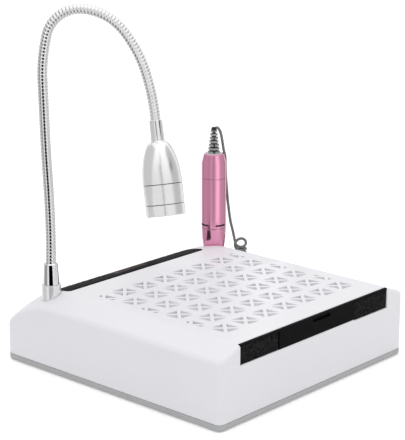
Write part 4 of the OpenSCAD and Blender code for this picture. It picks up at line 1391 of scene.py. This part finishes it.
def card(name, around, bearing, distance, half_angle, heights, strength):
    """Upright card that shows only in reflections.

    bearing is measured at the place it stands around, from the camera's direction towards its right.
    """
    material = bpy.data.materials.new(name)
    material.use_nodes = True
    tree = material.node_tree
    tree.nodes.clear()
    glow = add_node(tree, "Emission", Strength=strength)
    out = add_node(tree, "OutputMaterial")
    tree.links.new(glow.outputs["Emission"], out.inputs["Surface"])
    a = math.radians(bearing)
    towards = CAMERA_RIGHT * math.sin(a) - CAMERA_AHEAD * math.cos(a)
    side = CAMERA_RIGHT * math.cos(a) + CAMERA_AHEAD * math.sin(a)
    middle = around + towards * distance
    half = side * distance * math.tan(math.radians(half_angle))
    corners = [middle - half, middle + half]
    points = [Vector((c.x, c.y, z)) for z, row in zip(heights, (corners, corners[::-1])) for c in row]
    obj = new_object(name, points, [(0, 1, 2, 3)], material)
    obj.visible_camera = False
    obj.visible_diffuse = False
    obj.visible_shadow = False
    obj.visible_transmission = False


def reflections():
    """Cards that give the polished parts their upright streaks."""
    card("card_foot_dark", HOSE_FOOT, 3, 160, 28, (0, 80), 0.0)
    card("card_hose_dark", HOSE_FOOT, 0, 60, 22, (75, 330), 0.0)
    card("card_hose_grey", HOSE_FOOT, -80, 160, 30, (0, 480), 0.35)
    head = hose_place(HOSE_STEP * len(SECTION_TURNS))
    head.z = 0
    for i, (bearing, half_angle) in enumerate(((-72, 9), (-7, 4), (68, 10))):
        card(f"card_collar_{i}", head, bearing, 250, half_angle, (292, 335), 0.0)
    card("card_head_line", head, 2, 260, 2.5, (150, 520), 0.15)
    card("card_head_near", head, -58, 45, 26, (150, 275), 0.62)
    card("card_head_left", head, -95, 260, 32, (100, 520), 0.6)
    card("card_head_right", head, 85, 260, 26, (100, 520), 0.55)
    pen = HANDPIECE.translation
    card("card_pen_foot", pen, -50, 94, 6, (2, 52), 0.08)
    edges = (-128, -96, -62, -32, -12, 5, 15, 23, 47, 59, 101, 127)
    levels = (0.48, 0.58, 0.53, 0.66, 0.49, 0.68, 1.0, 1.18, 0.83, 0.6, 0.48)
    for i, (left, right, strength) in enumerate(zip(edges, edges[1:], levels)):
        card(f"card_pen_{i}", pen, (left + right) / 2, 100, (right - left) / 2, (30, 260), strength)


def camera():
    """Camera at the viewpoint from which the looks were matched."""
    data = bpy.data.cameras.new("camera")
    data.lens = CAMERA_LENS
    data.sensor_width = 36
    data.clip_start = 0.05
    data.clip_end = 50
    obj = in_scene("camera", data)
    obj.location = CAMERA_AT * MM
    look = Vector((
        math.cos(CAMERA_YAW) * math.cos(CAMERA_PITCH), math.sin(CAMERA_YAW) * math.cos(CAMERA_PITCH),
        math.sin(CAMERA_PITCH)))
    obj.rotation_mode = "QUATERNION"
    obj.rotation_quaternion = look.to_track_quat("-Z", "Y")
    bpy.context.scene.camera = obj


floor()
sky()
camera()
reflections()
bpy.context.scene.view_settings.view_transform = "Standard"
